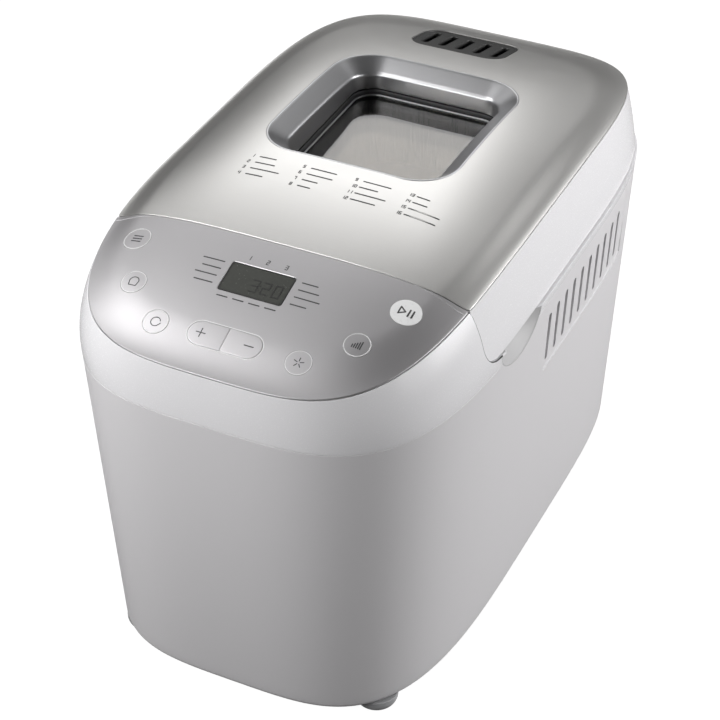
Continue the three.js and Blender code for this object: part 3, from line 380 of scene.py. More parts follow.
def rounded_rect(x, y, hx, hy, r, grow=0.0, arc=12):
    hx, hy, r = hx + grow, hy + grow, max(r + grow, 0.3)
    points = []
    for sx, sy, start in ((1, -1, -90), (1, 1, 0), (-1, 1, 90), (-1, -1, 180)):
        for i in range(arc + 1):
            angle = math.radians(start + 90 * i / arc)
            points.append((x + sx * (hx - r) + r * math.cos(angle), y + sy * (hy - r) + r * math.sin(angle)))
    return np.array(points)


def box_outline(low, high, r, arc=12):
    """A rounded rectangle that fills a box in plan."""
    centre, half = (low + high) / 2, (high - low) / 2
    return rounded_rect(centre[0], centre[1], half[0], half[1], r, arc=arc)


def straight_filled(points, step):
    """An outline with extra points on its long straight stretches."""
    result = []
    for a, b in zip(points, np.roll(points, -1, 0)):
        count = max(1, int(np.linalg.norm(b - a) // step))
        result += [a + (b - a) * i / count for i in range(count)]
    return np.array(result)


def circle(radius, sides):
    turns = [2 * math.pi * i / sides for i in range(sides)]
    return np.array([(radius * math.cos(turn), radius * math.sin(turn)) for turn in turns])


def filleted(profile, closed, radius=0.6, steps=4):
    """A profile of (inset, height) or (inset, height, radius) points with its corners rounded."""
    result = []
    count = len(profile)
    for i, point in enumerate(profile):
        here = np.array(point[:2], float)
        size = point[2] if len(point) > 2 else radius
        if (not closed and i in (0, count - 1)) or size <= 0:
            result.append(here)
            continue
        before = np.array(profile[i - 1][:2], float) - here
        after = np.array(profile[(i + 1) % count][:2], float) - here
        lengths = np.linalg.norm(before), np.linalg.norm(after)
        before, after = before / lengths[0], after / lengths[1]
        reach = min(size, 0.45 * lengths[0], 0.45 * lengths[1])
        for k in range(steps + 1):
            t = k / steps
            start, end = here + before * reach, here + after * reach
            result.append(start * (1 - t) ** 2 + here * 2 * t * (1 - t) + end * t ** 2)
    return np.array(result)


def sweep(name, outline, profile, closed=True, height=None, radius=0.6):
    """Carries a profile of (inset, height) points round an outline. An open profile is capped at both ends.

    The profile runs so that the body lies on its left: outer wall upwards, inner wall downwards."""
    rows = filleted(profile, closed, radius)
    points = []
    for inset, level in rows:
        ring = inset_outline(outline, inset)
        z = np.full(len(ring), level) if height is None else height(ring, level)
        points.append(np.column_stack([ring, z]))
    grid = np.stack(points, axis=1)
    columns, count = grid.shape[:2]
    return new_object(name, grid.reshape(-1, 3), swept_faces(columns, count, closed))


def lathe(name, profile, centre=(0, 0, 0), sides=64, closed=False, radius=0.4):
    """Turns a profile of (radius, height) points about a vertical axis."""
    flipped = [(-p[0], *p[1:]) for p in profile]
    rows = filleted(flipped, closed, radius)
    points = []
    for minus_r, level in rows:
        ring = circle(max(-minus_r, 0.02), sides)
        points.append(np.column_stack([ring, np.full(sides, level)]))
    grid = np.stack(points, axis=1)
    count = grid.shape[1]
    return new_object(name, grid.reshape(-1, 3) + np.array(centre, float), swept_faces(sides, count, closed))


def turned(obj, matrix):
    obj.data.transform(matrix)
    return obj


def rod(name, start, end, radius, sides=32, edge=0.3):
    """A round bar between two points, with rounded ends."""
    start, end = Vector(start), Vector(end)
    length = (end - start).length
    bar = lathe(name, [(0, 0), (radius, 0), (radius, length), (0, length)], sides=sides, radius=edge)
    turn = (end - start).to_track_quat("Z", "Y").to_matrix().to_4x4()
    return turned(bar, Matrix.Translation(start * MM) @ turn)


def block(name, low, high, edge=0.4):
    """A rectangular block with rounded edges."""
    x, y = (low[0] + high[0]) / 2, (low[1] + high[1]) / 2
    outline = rounded_rect(x, y, (high[0] - low[0]) / 2, (high[1] - low[1]) / 2, edge, arc=4)
    profile = [(edge, low[2]), (0, low[2]), (0, high[2]), (edge, high[2])]
    return sweep(name, outline, profile, False, radius=edge)


def tube(name, path, radius):
    """A round tube along a smooth path of points, with closed ends."""
    curve = bpy.data.curves.new(name, "CURVE")
    curve.dimensions = "3D"
    curve.bevel_depth = radius * MM
    curve.bevel_resolution = 4
    curve.use_fill_caps = True
    spline = curve.splines.new("NURBS")
    spline.points.add(len(path) - 1)
    for point, at in zip(spline.points, path):
        point.co = (*[v * MM for v in at], 1)
    spline.order_u = 4
    spline.use_endpoint_u = True
    spline.resolution_u = 8
    holder = bpy.data.objects.new(name, curve)
    bpy.context.scene.collection.objects.link(holder)
    bpy.context.view_layer.update()
    mesh = bpy.data.meshes.new_from_object(holder.evaluated_get(bpy.context.evaluated_depsgraph_get()))
    bpy.data.objects.remove(holder)
    mesh.polygons.foreach_set("use_smooth", [True] * len(mesh.polygons))
    mesh.set_sharp_from_angle(angle=math.radians(50))
    obj = bpy.data.objects.new(name, mesh)
    bpy.context.scene.collection.objects.link(obj)
    return obj


# ---------------------------------------------------------------- the casing's form


def edge_height(y):
    front = np.maximum(0, (-np.asarray(y) - EDGE_LEVEL_HALF) / EDGE_FALL_SPAN)
    back = np.maximum(0, (np.asarray(y) - EDGE_LEVEL_HALF) / EDGE_FALL_SPAN)
    return EDGE_HEIGHT - EDGE_FALL_FRONT * front**2 - EDGE_FALL_BACK * back**2


def dome_height(x, y):
    x, y = np.asarray(x, float), np.asarray(y, float)
    u, v = np.abs(x / TOP_HALF_WIDTH), np.abs(y / TOP_HALF_DEPTH)
    power = np.where(y < 0, FRONT_POWER, BACK_POWER)
    reach = (u**power + v**power) ** (1 / power)
    blend = np.clip((1 - reach) / CROWN_BLEND, 0, 1)
    across = 1 - np.minimum(1, u) ** CROWN_POWER_X
    along = 1 - np.minimum(1, v) ** CROWN_POWER_Y
    return edge_height(y) + CROWN * across * along * blend * (2 - blend)


def dome_normal(x, y):
    step = 0.4
    slope_x = (dome_height(x + step, y) - dome_height(x - step, y)) / (2 * step)
    slope_y = (dome_height(x, y + step) - dome_height(x, y - step)) / (2 * step)
    return unit_rows(np.stack([-slope_x, -slope_y, np.ones_like(slope_x)], axis=-1))


def on_dome(ring, depth):
    return dome_height(ring[:, 0], ring[:, 1]) - depth


def smooth_dome(obj):
    """Gives the faces that lie on the dome the dome's own normals."""
    mesh = obj.data
    corners = np.zeros(len(mesh.loops), int)
    mesh.loops.foreach_get("vertex_index", corners)
    places = np.array([v.co for v in mesh.vertices])[corners] / MM
    normals = dome_normal(places[:, 0], places[:, 1])
    sides = [len(p.vertices) for p in mesh.polygons]
    faces = np.repeat(np.array([p.normal for p in mesh.polygons]), sides, 0)
    lies_on = np.sum(normals * faces, axis=1) > 0.985
    mesh.normals_split_custom_set([tuple(n) if ok else (0, 0, 0) for n, ok in zip(normals, lies_on)])
    return obj


def side_unit(uy, side):
    power = FRONT_POWER if uy < 0 else BACK_POWER
    return side * (1 - abs(uy) ** power) ** (1 / power), uy


def end_unit(ux, end):
    power = FRONT_POWER if end < 0 else BACK_POWER
    return ux, end * (1 - abs(ux) ** power) ** (1 / power)


FRONT_TURN = 0.5 ** (1 / FRONT_POWER)
BACK_TURN = 0.5 ** (1 / BACK_POWER)
END_COLUMNS = 84


def steps(*stretches):
    """Numbers from stretches of (start, end, step), without repeats."""
    values = set()
    for start, end, step in stretches:
        count = max(1, round((end - start) / step))
        values.update(round(start + (end - start) * i / count, 4) for i in range(count + 1))
    return sorted(values)


def right_side(uys):
    return [side_unit(u, 1) for u in uys if -FRONT_TURN < u < BACK_TURN]


def left_side(uys):
    return [side_unit(u, -1) for u in reversed(uys) if -FRONT_TURN < u < BACK_TURN]


def back_end():
    return [end_unit(u, 1) for u in np.linspace(BACK_TURN, -BACK_TURN, END_COLUMNS)]


def front_end():
    return [end_unit(u, -1) for u in np.linspace(-FRONT_TURN, FRONT_TURN, END_COLUMNS)]


def collar_flare(rise):
    return 1 - rise**SHOULDER_POWER + 0.6 * rise * (1 - rise) ** 2


def lid_flare(rise):
    return 1 - rise**LID_FLARE_POWER


COLLAR_FORM = (collar_flare, FLARE_SIDE, FLARE_END, SEAM_HEIGHT)
LID_FORM = (lid_flare, LID_FLARE_SIDE, LID_FLARE_END, LID_BOTTOM)


def wall_point(form, unit, z):
    """A point of the upper casing's wall at height z, on the column of a unit outline point."""
    flare, side, end, bottom = form
    y = TOP_HALF_DEPTH * unit[1]
    for _ in range(4):
        rise = min(1.0, max(0.0, (z - bottom) / (float(edge_height(y)) - bottom)))
        lean = flare(rise)
        y = (TOP_HALF_DEPTH + end * lean) * unit[1]
    return (TOP_HALF_WIDTH + side * lean) * unit[0], y, z


def wall_half_width(form, y, z):
    """Half the casing's width at a point of its side view."""
    flare, side, end, bottom = form
    rise = min(1.0, max(0.0, (z - bottom) / (float(edge_height(y)) - bottom)))
    lean = flare(rise)
    return (TOP_HALF_WIDTH + side * lean) * side_unit(y / (TOP_HALF_DEPTH + end * lean), 1)[0]


def wall_reach(form, points):
    """How far out points lie: 1 on the casing's wall."""
    x, y, z = points[..., 0], points[..., 1], points[..., 2]
    if form is None:
        t = (z - FOOT_HEIGHT) / (SEAM_HEIGHT - FOOT_HEIGHT)
        width = BASE_HALF_WIDTH + (TOP_HALF_WIDTH + FLARE_SIDE - BASE_HALF_WIDTH) * t
        depth = BASE_HALF_DEPTH + (TOP_HALF_DEPTH + FLARE_END - BASE_HALF_DEPTH) * t
    else:
        flare, side, end, bottom = form
        lean = flare(np.clip((z - bottom) / (edge_height(y) - bottom), 0, 1))
        width, depth = TOP_HALF_WIDTH + side * lean, TOP_HALF_DEPTH + end * lean
    power = np.where(y < 0, FRONT_POWER, BACK_POWER)
    return (np.abs(x / width) ** power + np.abs(y / depth) ** power) ** (1 / power)


def wall_normals(form, grid):
    """Outward normals of the casing's wall at a grid of points."""
    slopes = []
    for axis in range(3):
        step = np.zeros(3)
        step[axis] = 0.2
        slopes.append(wall_reach(form, grid + step) - wall_reach(form, grid - step))
    return unit_rows(np.stack(slopes, axis=-1))


def wall_half_widths(form, y, z):
    """Half the casing's width at points of its side view, as arrays."""
    flare, side, end, bottom = form
    lean = flare(np.clip((z - bottom) / (edge_height(y) - bottom), 0, 1))
    power = np.where(y < 0, FRONT_POWER, BACK_POWER)
    share = np.clip(1 - np.abs(y / (TOP_HALF_DEPTH + end * lean)) ** power, 0, 1)
    return (TOP_HALF_WIDTH + side * lean) * share ** (1 / power)


RIM_MARGIN = 0.55


def spaced(rises, length):
    """Shares of a column's length, with its inner rows kept clear of the rounded rims."""
    share = min(0.2, RIM_MARGIN / length)
    return [r if r in (0, 1) else share + (1 - 2 * share) * r for r in rises]


def side_strip(form, low, high, rises):
    """Columns of the right wall, front to back, between two curves of (y, z) points in side view."""
    shares = np.array([spaced(rises, math.dist(a, b)) for a, b in zip(low, high)])
    low, high = np.array(low)[:, None], np.array(high)[:, None]
    places = low + (high - low) * shares[:, :, None]
    y, z = places[..., 0], places[..., 1]
    return np.stack([wall_half_widths(form, y, z), y, z], axis=-1)


def mirrored(strip):
    """The left wall's columns, back to front."""
    return strip[::-1] * np.array([-1, 1, 1])


def lid_edge(y, grow):
    """Height of the lid's lower and front edge in side view, moved outwards by grow."""
    corner_y, corner_z = LID_CORNER
    front_y = LID_FRONT_EDGE[0] - grow
    ry, rz = LID_CORNER_RY + grow, corner_z - LID_BOTTOM + grow
    if y >= corner_y:
        return LID_BOTTOM - grow
    if y >= corner_y - ry:
        return corner_z - rz * math.sqrt(max(0.0, 1 - ((corner_y - y) / ry) ** 2))
    if y >= front_y:
        return corner_z + (corner_y - ry - y) * (LID_FRONT_EDGE[1] - corner_z) / (corner_y - ry - front_y)
    return LID_FRONT_EDGE[1] + (y - front_y) / LID_FRONT_SLOPE


# ---------------------------------------------------------------- lower casing

VENT_SLOTS = 10
VENT_FIRST_Y = -6.8
VENT_PITCH = 14.3
VENT_SLOT_HALF = 2.15
VENT_LOW, VENT_HIGH = 175.5, 212.0
PANEL_FRONT, PANEL_BACK, PANEL_LOW, PANEL_DEPTH = -12.5, 137.0, 169.5, 0.85
BELT_GAP = 0.16
FLOOR_HALF = (80.0, 160.0)


def lower_half_sizes(z):
    t = (z - FOOT_HEIGHT) / (SEAM_HEIGHT - FOOT_HEIGHT)
    width = BASE_HALF_WIDTH + (TOP_HALF_WIDTH + FLARE_SIDE - BASE_HALF_WIDTH) * t
    depth = BASE_HALF_DEPTH + (TOP_HALF_DEPTH + FLARE_END - BASE_HALF_DEPTH) * t
    return width, depth


def ramp(value, start, width):
    return np.clip((value - start) / width, 0, 1)


def lower_normals(grid, flat_rows, round_rows):
    """Normals of the lower casing: down on its floor, turning outwards round its lower edge."""
    normal = wall_normals(None, grid)
    level = unit_rows(normal * np.array([1, 1, 0]))
    down = np.array([0.0, 0.0, -1.0])
    normal[:, :flat_rows] = down
    for row in range(round_rows):
        turn = math.radians(90 * row / (round_rows - 1))
        normal[:, flat_rows + row] = level[:, flat_rows + row] * math.sin(turn) + down * math.cos(turn)
    return normal


def lower_wall():
    ramp_width = 0.5
    near = 0.15
    panel_rows = [PANEL_LOW - near, PANEL_LOW, PANEL_LOW + ramp_width, PANEL_LOW + ramp_width + near]
    zs = steps((19, 164, 8.0), (164, 168, 2.0), (171, 222, 3.0), (222, 226, 2.0)) + panel_rows
    zs = sorted(zs) + [SEAM_HEIGHT - BELT_GAP / 2]
    edges = []
    for at, sign in ((PANEL_FRONT, 1), (PANEL_BACK, -1)):
        edges += [at - sign * near, at, at + sign * ramp_width, at + sign * (ramp_width + near)]
    ys = sorted(set(steps((-172, -24, 4.0), (-19, 134, 3.0), (140, 186, 4.0)) + edges))
    uys = [y / lower_half_sizes(PANEL_LOW)[1] for y in ys]
    units = right_side(uys) + back_end() + left_side(uys) + front_end()
    grid = []
    for unit in units:
        column = []
        for share in (0, 0.3, 0.6, 0.9):
            flat = [h - BASE_EDGE_RADIUS for h in lower_half_sizes(FOOT_HEIGHT)]
            x = (FLOOR_HALF[0] + (flat[0] - FLOOR_HALF[0]) * share) * unit[0]
            y = (FLOOR_HALF[1] + (flat[1] - FLOOR_HALF[1]) * share) * unit[1]
            column.append((x, y, FOOT_HEIGHT))
        for angle in range(0, 91, 10):
            turn = math.radians(angle)
            z = FOOT_HEIGHT + BASE_EDGE_RADIUS * (1 - math.cos(turn))
            width, depth = lower_half_sizes(z)
            inset = BASE_EDGE_RADIUS * (1 - math.sin(turn))
            column.append(((width - inset) * unit[0], (depth - inset) * unit[1], z))
        for z in zs:
            width, depth = lower_half_sizes(z)
            column.append((width * unit[0], depth * unit[1], z))
        grid.append(column)
    grid = np.array(grid)
    normal = lower_normals(grid, 4, 10)
    x, y, z = grid[..., 0], grid[..., 1], grid[..., 2]
    across = ramp(y, PANEL_FRONT, ramp_width) * ramp(-y, -PANEL_BACK, ramp_width)
    depth = PANEL_DEPTH * across * ramp(z, PANEL_LOW, ramp_width) * (np.abs(x) > 100)
    grid[..., 0] -= np.sign(x) * depth
    return wall_shell("body", grid, normal, back_every=6)


def vent_cutters():
    """Upright slots with round ends and a small chamfer at the outer face, on both sides."""
    cutters = []
    for side in (-1, 1):
        for i in range(VENT_SLOTS):
            y = VENT_FIRST_Y + i * VENT_PITCH
            middle = (VENT_LOW + VENT_HIGH) / 2
            half_height = (VENT_HIGH - VENT_LOW) / 2
            outline = rounded_rect(y, middle, VENT_SLOT_HALF, half_height, VENT_SLOT_HALF - 0.01, arc=6)
            width = lower_half_sizes(middle)[0]
            outer = width * side_unit(y / TOP_HALF_DEPTH, 1)[0] - PANEL_DEPTH
            profile = [(0, outer - 12), (0, outer - 0.6), (-0.35, outer + 0.1), (-0.35, outer + 6)]
            slot = sweep("slot", outline, profile, False, radius=0)
            turn = Matrix(((0, 0, side, 0), (1, 0, 0, 0), (0, 1, 0, 0), (0, 0, 0, 1)))
            turned(slot, turn)
            if side < 0:
                slot.data.flip_normals()
            cutters.append(slot)
    return joined("vent_cutters", *cutters)


BAFFLE_BEHIND = 5.2
BAFFLE_THICKNESS = 1.4


def vent_baffles():
    """An upright strip behind each row of slots, which keeps fingers and spills out."""
    middle = (VENT_LOW + VENT_HIGH) / 2
    for side in (-1, 1):
        face = []
        for y in steps((-16, 134, 5.0)):
            width = lower_half_sizes(middle)[0] * side_unit(y / TOP_HALF_DEPTH, 1)[0]
            face.append((width - BAFFLE_BEHIND, y))
        face = np.array(face)
        back = face[::-1] - np.array([BAFFLE_THICKNESS, 0])
        outline = np.vstack([face, back]) if side > 0 else np.vstack([face, back])[::-1] * np.array([-1, 1])
        baffle = sweep("vent_baffle", outline, [(0, VENT_LOW - 3), (0, VENT_HIGH + 3)], False, radius=0)
        wear(baffle, "satin_white")
        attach(baffle, "base")


def scoop_x(y, z):
    """Half-width of the finger scoop's surface: a shallow bowl let into the casing's side."""
    out = ((y - SCOOP["y"]) / SCOOP["ry"]) ** 2 + ((z - SCOOP["z"]) / SCOOP["rz"]) ** 2
    return scoop_side(min(z, DECK_TOP), y) - SCOOP_DEPTH * (1 - out)


def scoop_cutter():
    """The room taken by the two finger scoops, a little behind their surfaces."""
    parts = []
    turns = 72
    outside = 150.0
    middle_y, middle_z = SCOOP["y"], SCOOP["z"]
    for side in (-1, 1):
        inside = scoop_x(middle_y, middle_z) - SCOOP_BEHIND
        points = [(inside, middle_y, middle_z), (outside, middle_y, middle_z)]
        for share in (0.2, 0.4, 0.55, 0.7, 0.8, 0.88, 0.94, 0.98, 1.0, None):
            for i in range(turns):
                angle = 2 * math.pi * i / turns
                reach = 1.0 if share is None else share
                y = middle_y + SCOOP["ry"] * reach * math.cos(angle)
                z = middle_z + SCOOP["rz"] * reach * math.sin(angle)
                points.append((outside if share is None else scoop_x(y, z) - SCOOP_BEHIND, y, z))
        rings = (len(points) - 2) // turns
        faces = []
        for i in range(turns):
            n = (i + 1) % turns
            faces.append((0, 2 + n, 2 + i))
            for r in range(rings - 1):
                low, high = 2 + r * turns, 2 + (r + 1) * turns
                faces.append((low + i, low + n, high + n, high + i))
            last = 2 + (rings - 1) * turns
            faces.append((1, last + i, last + n))
        grid = np.array(points, float)
        grid[:, 0] *= side
        if side < 0:
            faces = [face[::-1] for face in faces]
        parts.append(new_object("scoop_cutter", grid, faces))
    return joined("scoop_cutters", *parts)


def body():
    inlet_low, inlet_high = node_box("cable_inlet")
    inlet_x, inlet_z = (inlet_low[0] + inlet_high[0]) / 2, (inlet_low[2] + inlet_high[2]) / 2
    shell = lower_wall()
    hole = rod("inlet_hole", (inlet_x, 190, inlet_z), (inlet_x, 230, inlet_z), 8.3, edge=0)
    carve(shell, vent_cutters(), scoop_cutter(), hole)
    wear(shell, "satin_white")
    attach(shell, "base")
    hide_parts("body_shell")
    vent_baffles()


def scoop_side(z, y):
    """Half-width of the casing's outer face at the scoop."""
    if z >= SEAM_HEIGHT:
        return wall_half_width(COLLAR_FORM, y, z)
    width, depth = lower_half_sizes(z)
    return width * side_unit(y / depth, 1)[0]


def scoop_dish(side):
    """The lining of a finger scoop below the lid's edge, with a soft lip on the wall."""
    lip = 1.1
    lining = 1.6
    turns = 60
    shares = [0.02, 0.2, 0.4, 0.55, 0.68, 0.78, 0.86, 0.92, 0.955, 0.975, 0.99]
    columns = []
    for i in range(turns + 1):
        angle = math.pi + math.pi * i / turns
        direction = (math.cos(angle), math.sin(angle))

        def place(distance):
            return SCOOP["y"] + distance * direction[0], DECK_TOP + distance * direction[1]

        near, far = 5.0, 40.0
        for _ in range(40):
            middle = (near + far) / 2
            y, z = place(middle)
            if scoop_x(y, z) < scoop_side(z, y):
                near = middle
            else:
                far = middle
        rim = near
        front, behind = [], []
        for share in shares:
            y, z = place(rim * share)
            front.append((scoop_x(y, z), y, z))
            behind.append((scoop_x(y, z) - lining, y, z))
        corner = []
        for turn, rise in ((-0.12, -0.35), (0.15, 0.02), (0.45, 0.12), (0.8, 0.1), (lip, 0.02), (lip, -0.4)):
            y, z = place(rim + turn)
            corner.append((scoop_side(z, y) + rise, y, z))
        y, z = place(rim + 0.4)
        corner.append((scoop_side(z, y) - 2.0, y, z))
        columns.append(front + corner + behind[::-1])
    grid = np.array(columns)
    grid[..., 0] *= side
    count = grid.shape[1]
    faces = loop_faces(turns + 1, count, False, True)
    faces.append(tuple(range(count))[::-1])
    faces.append(tuple(turns * count + i for i in range(count)))
    if side < 0:
        faces = [f[::-1] for f in faces]
    name = "finger_scoop_right" if side > 0 else "finger_scoop_left"
    dish = new_object(name, grid.reshape(-1, 3), faces, 60)
    tidy = bmesh.new()
    tidy.from_mesh(dish.data)
    bmesh.ops.recalc_face_normals(tidy, faces=tidy.faces)
    tidy.to_mesh(dish.data)
    tidy.free()
    # The lining wears a grey of painted shade in place of the body's white.
    wear(dish, "satin_white", "scoop_painted_shade")
    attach(dish, "base")


# ---------------------------------------------------------------- control housing


def edge_curve(grow, top_y, top_z):
    """The lid's front edge in side view, from its upper end down and round to the level part."""
    corner_y, corner_z = LID_CORNER
    ry, rz = LID_CORNER_RY + grow, corner_z - LID_BOTTOM + grow
    front = corner_y - ry
    knee = (LID_FRONT_EDGE[0] - grow, LID_FRONT_EDGE[1])
    points = [(top_y, top_z)]
    points += [(top_y + (knee[0] - top_y) * t, top_z + (knee[1] - top_z) * t) for t in (0.4, 0.8)]
    points += [
        (knee[0] + (front - knee[0]) * t, knee[1] + (corner_z - knee[1]) * t)
        for t in np.linspace(0.06, 1, 10)
    ]
    return points + [
        (corner_y - ry * math.cos(a), corner_z - rz * math.sin(a)) for a in np.radians(np.arange(5, 91, 5))
    ]


def partners(count, start, end):
    """Depths along the opposite edge for the points of an edge curve, so that columns fan out."""
    return list(np.linspace(start, end, count))


COLLAR_RISES = [
    0, 0.03, 0.08, 0.15, 0.23, 0.31, 0.39, 0.47, 0.55, 0.63, 0.71, 0.79, 0.86, 0.92, 0.96, 0.985, 1,
]
SIDE_YS = steps((-84, -28, 2.0), (-24, 184, 4.0))


def collar_wall():
    """The control housing's outer wall: up to the panel in front, up to the lid's edge behind it."""
    bottom = SEAM_HEIGHT + BELT_GAP / 2
    limit_y = SEAM_CORNER_Y - EDGE_GAP - 0.3
    limit_z = float(edge_height(limit_y)) - TOP_DROP
    curve = edge_curve(EDGE_GAP, limit_y, limit_z)
    front_ys = steps((-177, limit_y - 2.5, 4.0))
    lean = [min(1.0, max(0.0, (y + 177) / (limit_y + 177))) for y in front_ys]
    high = [(y, float(edge_height(y)) - TOP_DROP) for y in front_ys] + curve
    low_ys = [y - 24 * t for y, t in zip(front_ys, lean)] + partners(len(curve), limit_y - 23, -84)
    high += [(y, LID_BOTTOM - EDGE_GAP) for y in SIDE_YS]
    low_ys += [y + 4 * min(1, (-y - 20) / 64) if y < -20 else y for y in SIDE_YS]
    strip = side_strip(COLLAR_FORM, [(y, bottom) for y in low_ys], high, COLLAR_RISES)

    def upright(units, top):
        return np.array([
            [wall_point(COLLAR_FORM, unit, bottom + (top(unit) - bottom) * rise)
             for rise in spaced(COLLAR_RISES, top(unit) - bottom)]
            for unit in units
        ])

    back = upright(back_end(), lambda unit: LID_BOTTOM - EDGE_GAP)
    front = upright(front_end(), lambda unit: float(edge_height(TOP_HALF_DEPTH * unit[1])) - TOP_DROP)
    grid = np.concatenate([strip, back, mirrored(strip), front])
    return wall_shell("collar_wall", grid, wall_normals(COLLAR_FORM, grid), lip=0.22, back_every=4)


def painted_gap_shade():
    """A thin dark strip just inside the housing's edge, seen in the gap round the front of the lid's side:
    painted shade that makes the gap read as a dark line.
    """
    top_y = SEAM_CORNER_Y - 1
    top_z = float(edge_height(top_y)) - TOP_DROP - 1
    overlap, clearance = 0.9, 0.1
    low = edge_curve(EDGE_GAP + overlap, top_y, top_z)[2:]
    high = edge_curve(clearance, top_y, top_z)[2:]
    strip = side_strip(COLLAR_FORM, low, high, [0, 0.25, 0.5, 0.75, 1])
    strip[..., 0] -= GAP_SHADE_INSET
    gap_shade_strips = []
    for grid in (strip, mirrored(strip)):
        normal = wall_normals(COLLAR_FORM, grid)
        gap_shade_strips.append(wall_shell("seal", grid, normal, 0.8, lip=0.04, ring=False, back_every=3))
    seal = joined("painted_gap_shade", *gap_shade_strips)
    # Print grey here is painted shade: the strip darkens the gap, it is no seal.
    wear(seal, "black_plastic", "print_grey")
    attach(seal, "base")


def cross_wall(name, form, grow, thickness, side_gap, top_gap):
    """A wall across the casing that follows the lid's front edge in side view.

    It faces backwards for the housing's partition and forwards for the lid's front."""
    top_y = LID_FRONT_EDGE[0] - grow - 5.4
    curve = edge_curve(grow, top_y, lid_edge(top_y, grow))[::-1]
    # The partition ends a little under the shelf's top, so that the two share no face.
    dip = 1.2 if form is COLLAR_FORM else 0.0
    curve = [(-80, LID_BOTTOM - grow - dip), (-84, LID_BOTTOM - grow - dip * 0.7)] + curve
    columns = 48
    grid = []
    for share in np.linspace(1, -1, columns + 1):
        column = []
        for y, z in curve:
            half = float(wall_half_widths(form, y, min(z, float(edge_height(y)) - 1))) - side_gap
            x = half * share
            column.append((x, y, min(z, float(dome_height(x, y)) - SKIN - top_gap)))
        grid.append(column)
    grid = np.array(grid)
    if form is LID_FORM:
        grid = grid[::-1]
    along = np.gradient(grid, axis=0)
    up = np.gradient(grid, axis=1)
    normal = np.cross(unit_rows(along), unit_rows(up + 1e-6))
    normal[..., 0] = 0
    return wall_shell(name, grid, unit_rows(normal), thickness, lip=0.25, ring=False, back_every=3)


def deck():
    """The shelf round the baking chamber's mouth, under the lid."""
    side = [y / TOP_HALF_DEPTH for y in steps((-88, 186, 4.0))]
    units = right_side(side) + back_end() + left_side(side)
    outline = []
    for unit in units:
        x, y, _ = wall_point(COLLAR_FORM, unit, DECK_TOP - 2)
        outline.append((x * 0.989, y * (0.9935 if unit[1] > 0 else 1)))
    plate = sweep("deck", np.array(outline), [(0, DECK_TOP - 5.2), (0, DECK_TOP)], False, radius=0)
    low, high = node_box("chamber_rim")
    centre = (low + high) / 2
    mouth = rounded_rect(centre[0], centre[1], 95.5, 123.5, 29)
    profile = [(0, 200), (0, DECK_TOP - 0.6), (-0.6, DECK_TOP + 0.1), (-0.6, 250)]
    hole = sweep("mouth", mouth, profile, False, radius=0)
    return carve(plate, hole)


def hinge_lugs():
    parts = []
    for x in (-HINGE_X, HINGE_X):
        parts.append(rod("lug", (x - KNUCKLE_HALF, HINGE_Y, HINGE_Z), (x + KNUCKLE_HALF, HINGE_Y, HINGE_Z),
                         KNUCKLE_RADIUS))
        parts.append(block("lug_foot", (x - KNUCKLE_HALF, HINGE_Y - KNUCKLE_RADIUS, DECK_TOP - 5),
                           (x + KNUCKLE_HALF, HINGE_Y + KNUCKLE_RADIUS, HINGE_Z)))
    return parts


GROOVE_HALF = 94.0
GROOVE_RADIUS = 9.8


def hinge_groove():
    """The room the lid's back edge needs round the hinge as it swings up."""
    start, end = (-GROOVE_HALF, HINGE_Y, HINGE_Z), (GROOVE_HALF, HINGE_Y, HINGE_Z)
    return rod("groove", start, end, GROOVE_RADIUS, 96, 0)


def control_housing():
    wall = carve(collar_wall(), scoop_cutter(), hinge_groove())
    shelf = carve(deck(), scoop_cutter(), hinge_groove())
    partition = cross_wall("partition", COLLAR_FORM, LID_REVEAL, 2.2, 1.5, 0.6)
    housing = joined("control_housing", wall, shelf, partition, *hinge_lugs())
    wear(housing, "gloss_white")
    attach(housing, "base")
    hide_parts("collar_frame")
    painted_gap_shade()
    for side in (-1, 1):
        scoop_dish(side)


# ---------------------------------------------------------------- metal plates on top


def seam_depth(x):
    """Depth of the line where the lid meets the control panel, at the dome's surface."""
    y = np.full_like(np.asarray(x, float), -116.0)
    for _ in range(30):
        y = LID_FRONT_EDGE[0] + LID_FRONT_SLOPE * (dome_height(x, y) - LID_FRONT_EDGE[1])
    return y


SEAM_CORNER_Y = float(seam_depth(np.array([118.9]))[0])
SEAM_COLUMNS = 90
SEAM_GAP = 0.27


def plate(name, boundary, centre, thickness, edge=0.38, rows=40, lift=0.0):
    """A plate that follows the dome inside a boundary, with a rounded upper edge."""
    middle = np.array(centre)
    inner = inset_outline(boundary, edge)
    rings = []
    for i in range(1, rows + 1):
        ring = middle + (inner - middle) * (i / (rows + 0.4))
        rings.append(np.column_stack([ring, on_dome(ring, -lift)]))
    for angle in (0, 18, 36, 54, 72, 90):
        turn = math.radians(angle)
        ring = inset_outline(boundary, edge * (1 - math.sin(turn)))
        rings.append(np.column_stack([ring, on_dome(ring, edge * (1 - math.cos(turn)) - lift)]))
    rings.append(np.column_stack([boundary, on_dome(boundary, thickness - lift)]))
    for i in range(12, 0, -1):
        ring = middle + (boundary - middle) * (i / 12.4)
        rings.append(np.column_stack([ring, on_dome(ring, thickness - lift)]))
    rings = rings[::-1]
    grid = np.stack(rings, axis=1)
    columns, count = grid.shape[:2]
    points = list(grid.reshape(-1, 3))
    faces = loop_faces(columns, count, True, False) + fan_faces(columns, count)
    height = float(dome_height(*centre))
    points += [np.array([*centre, height + lift - thickness]), np.array([*centre, height + lift])]
    return new_object(name, points, faces)


def outline_from(units):
    return [(TOP_HALF_WIDTH * ux, TOP_HALF_DEPTH * uy) for ux, uy in units]


def through_dome(ring, depth):
    """Depth under the dome, but level at the far ends of a punch."""
    if abs(depth) < 5:
        return on_dome(ring, depth)
    dome = dome_height(ring[:, 0], ring[:, 1])
    return np.full(len(ring), dome.min() - depth if depth > 0 else dome.max() - depth)


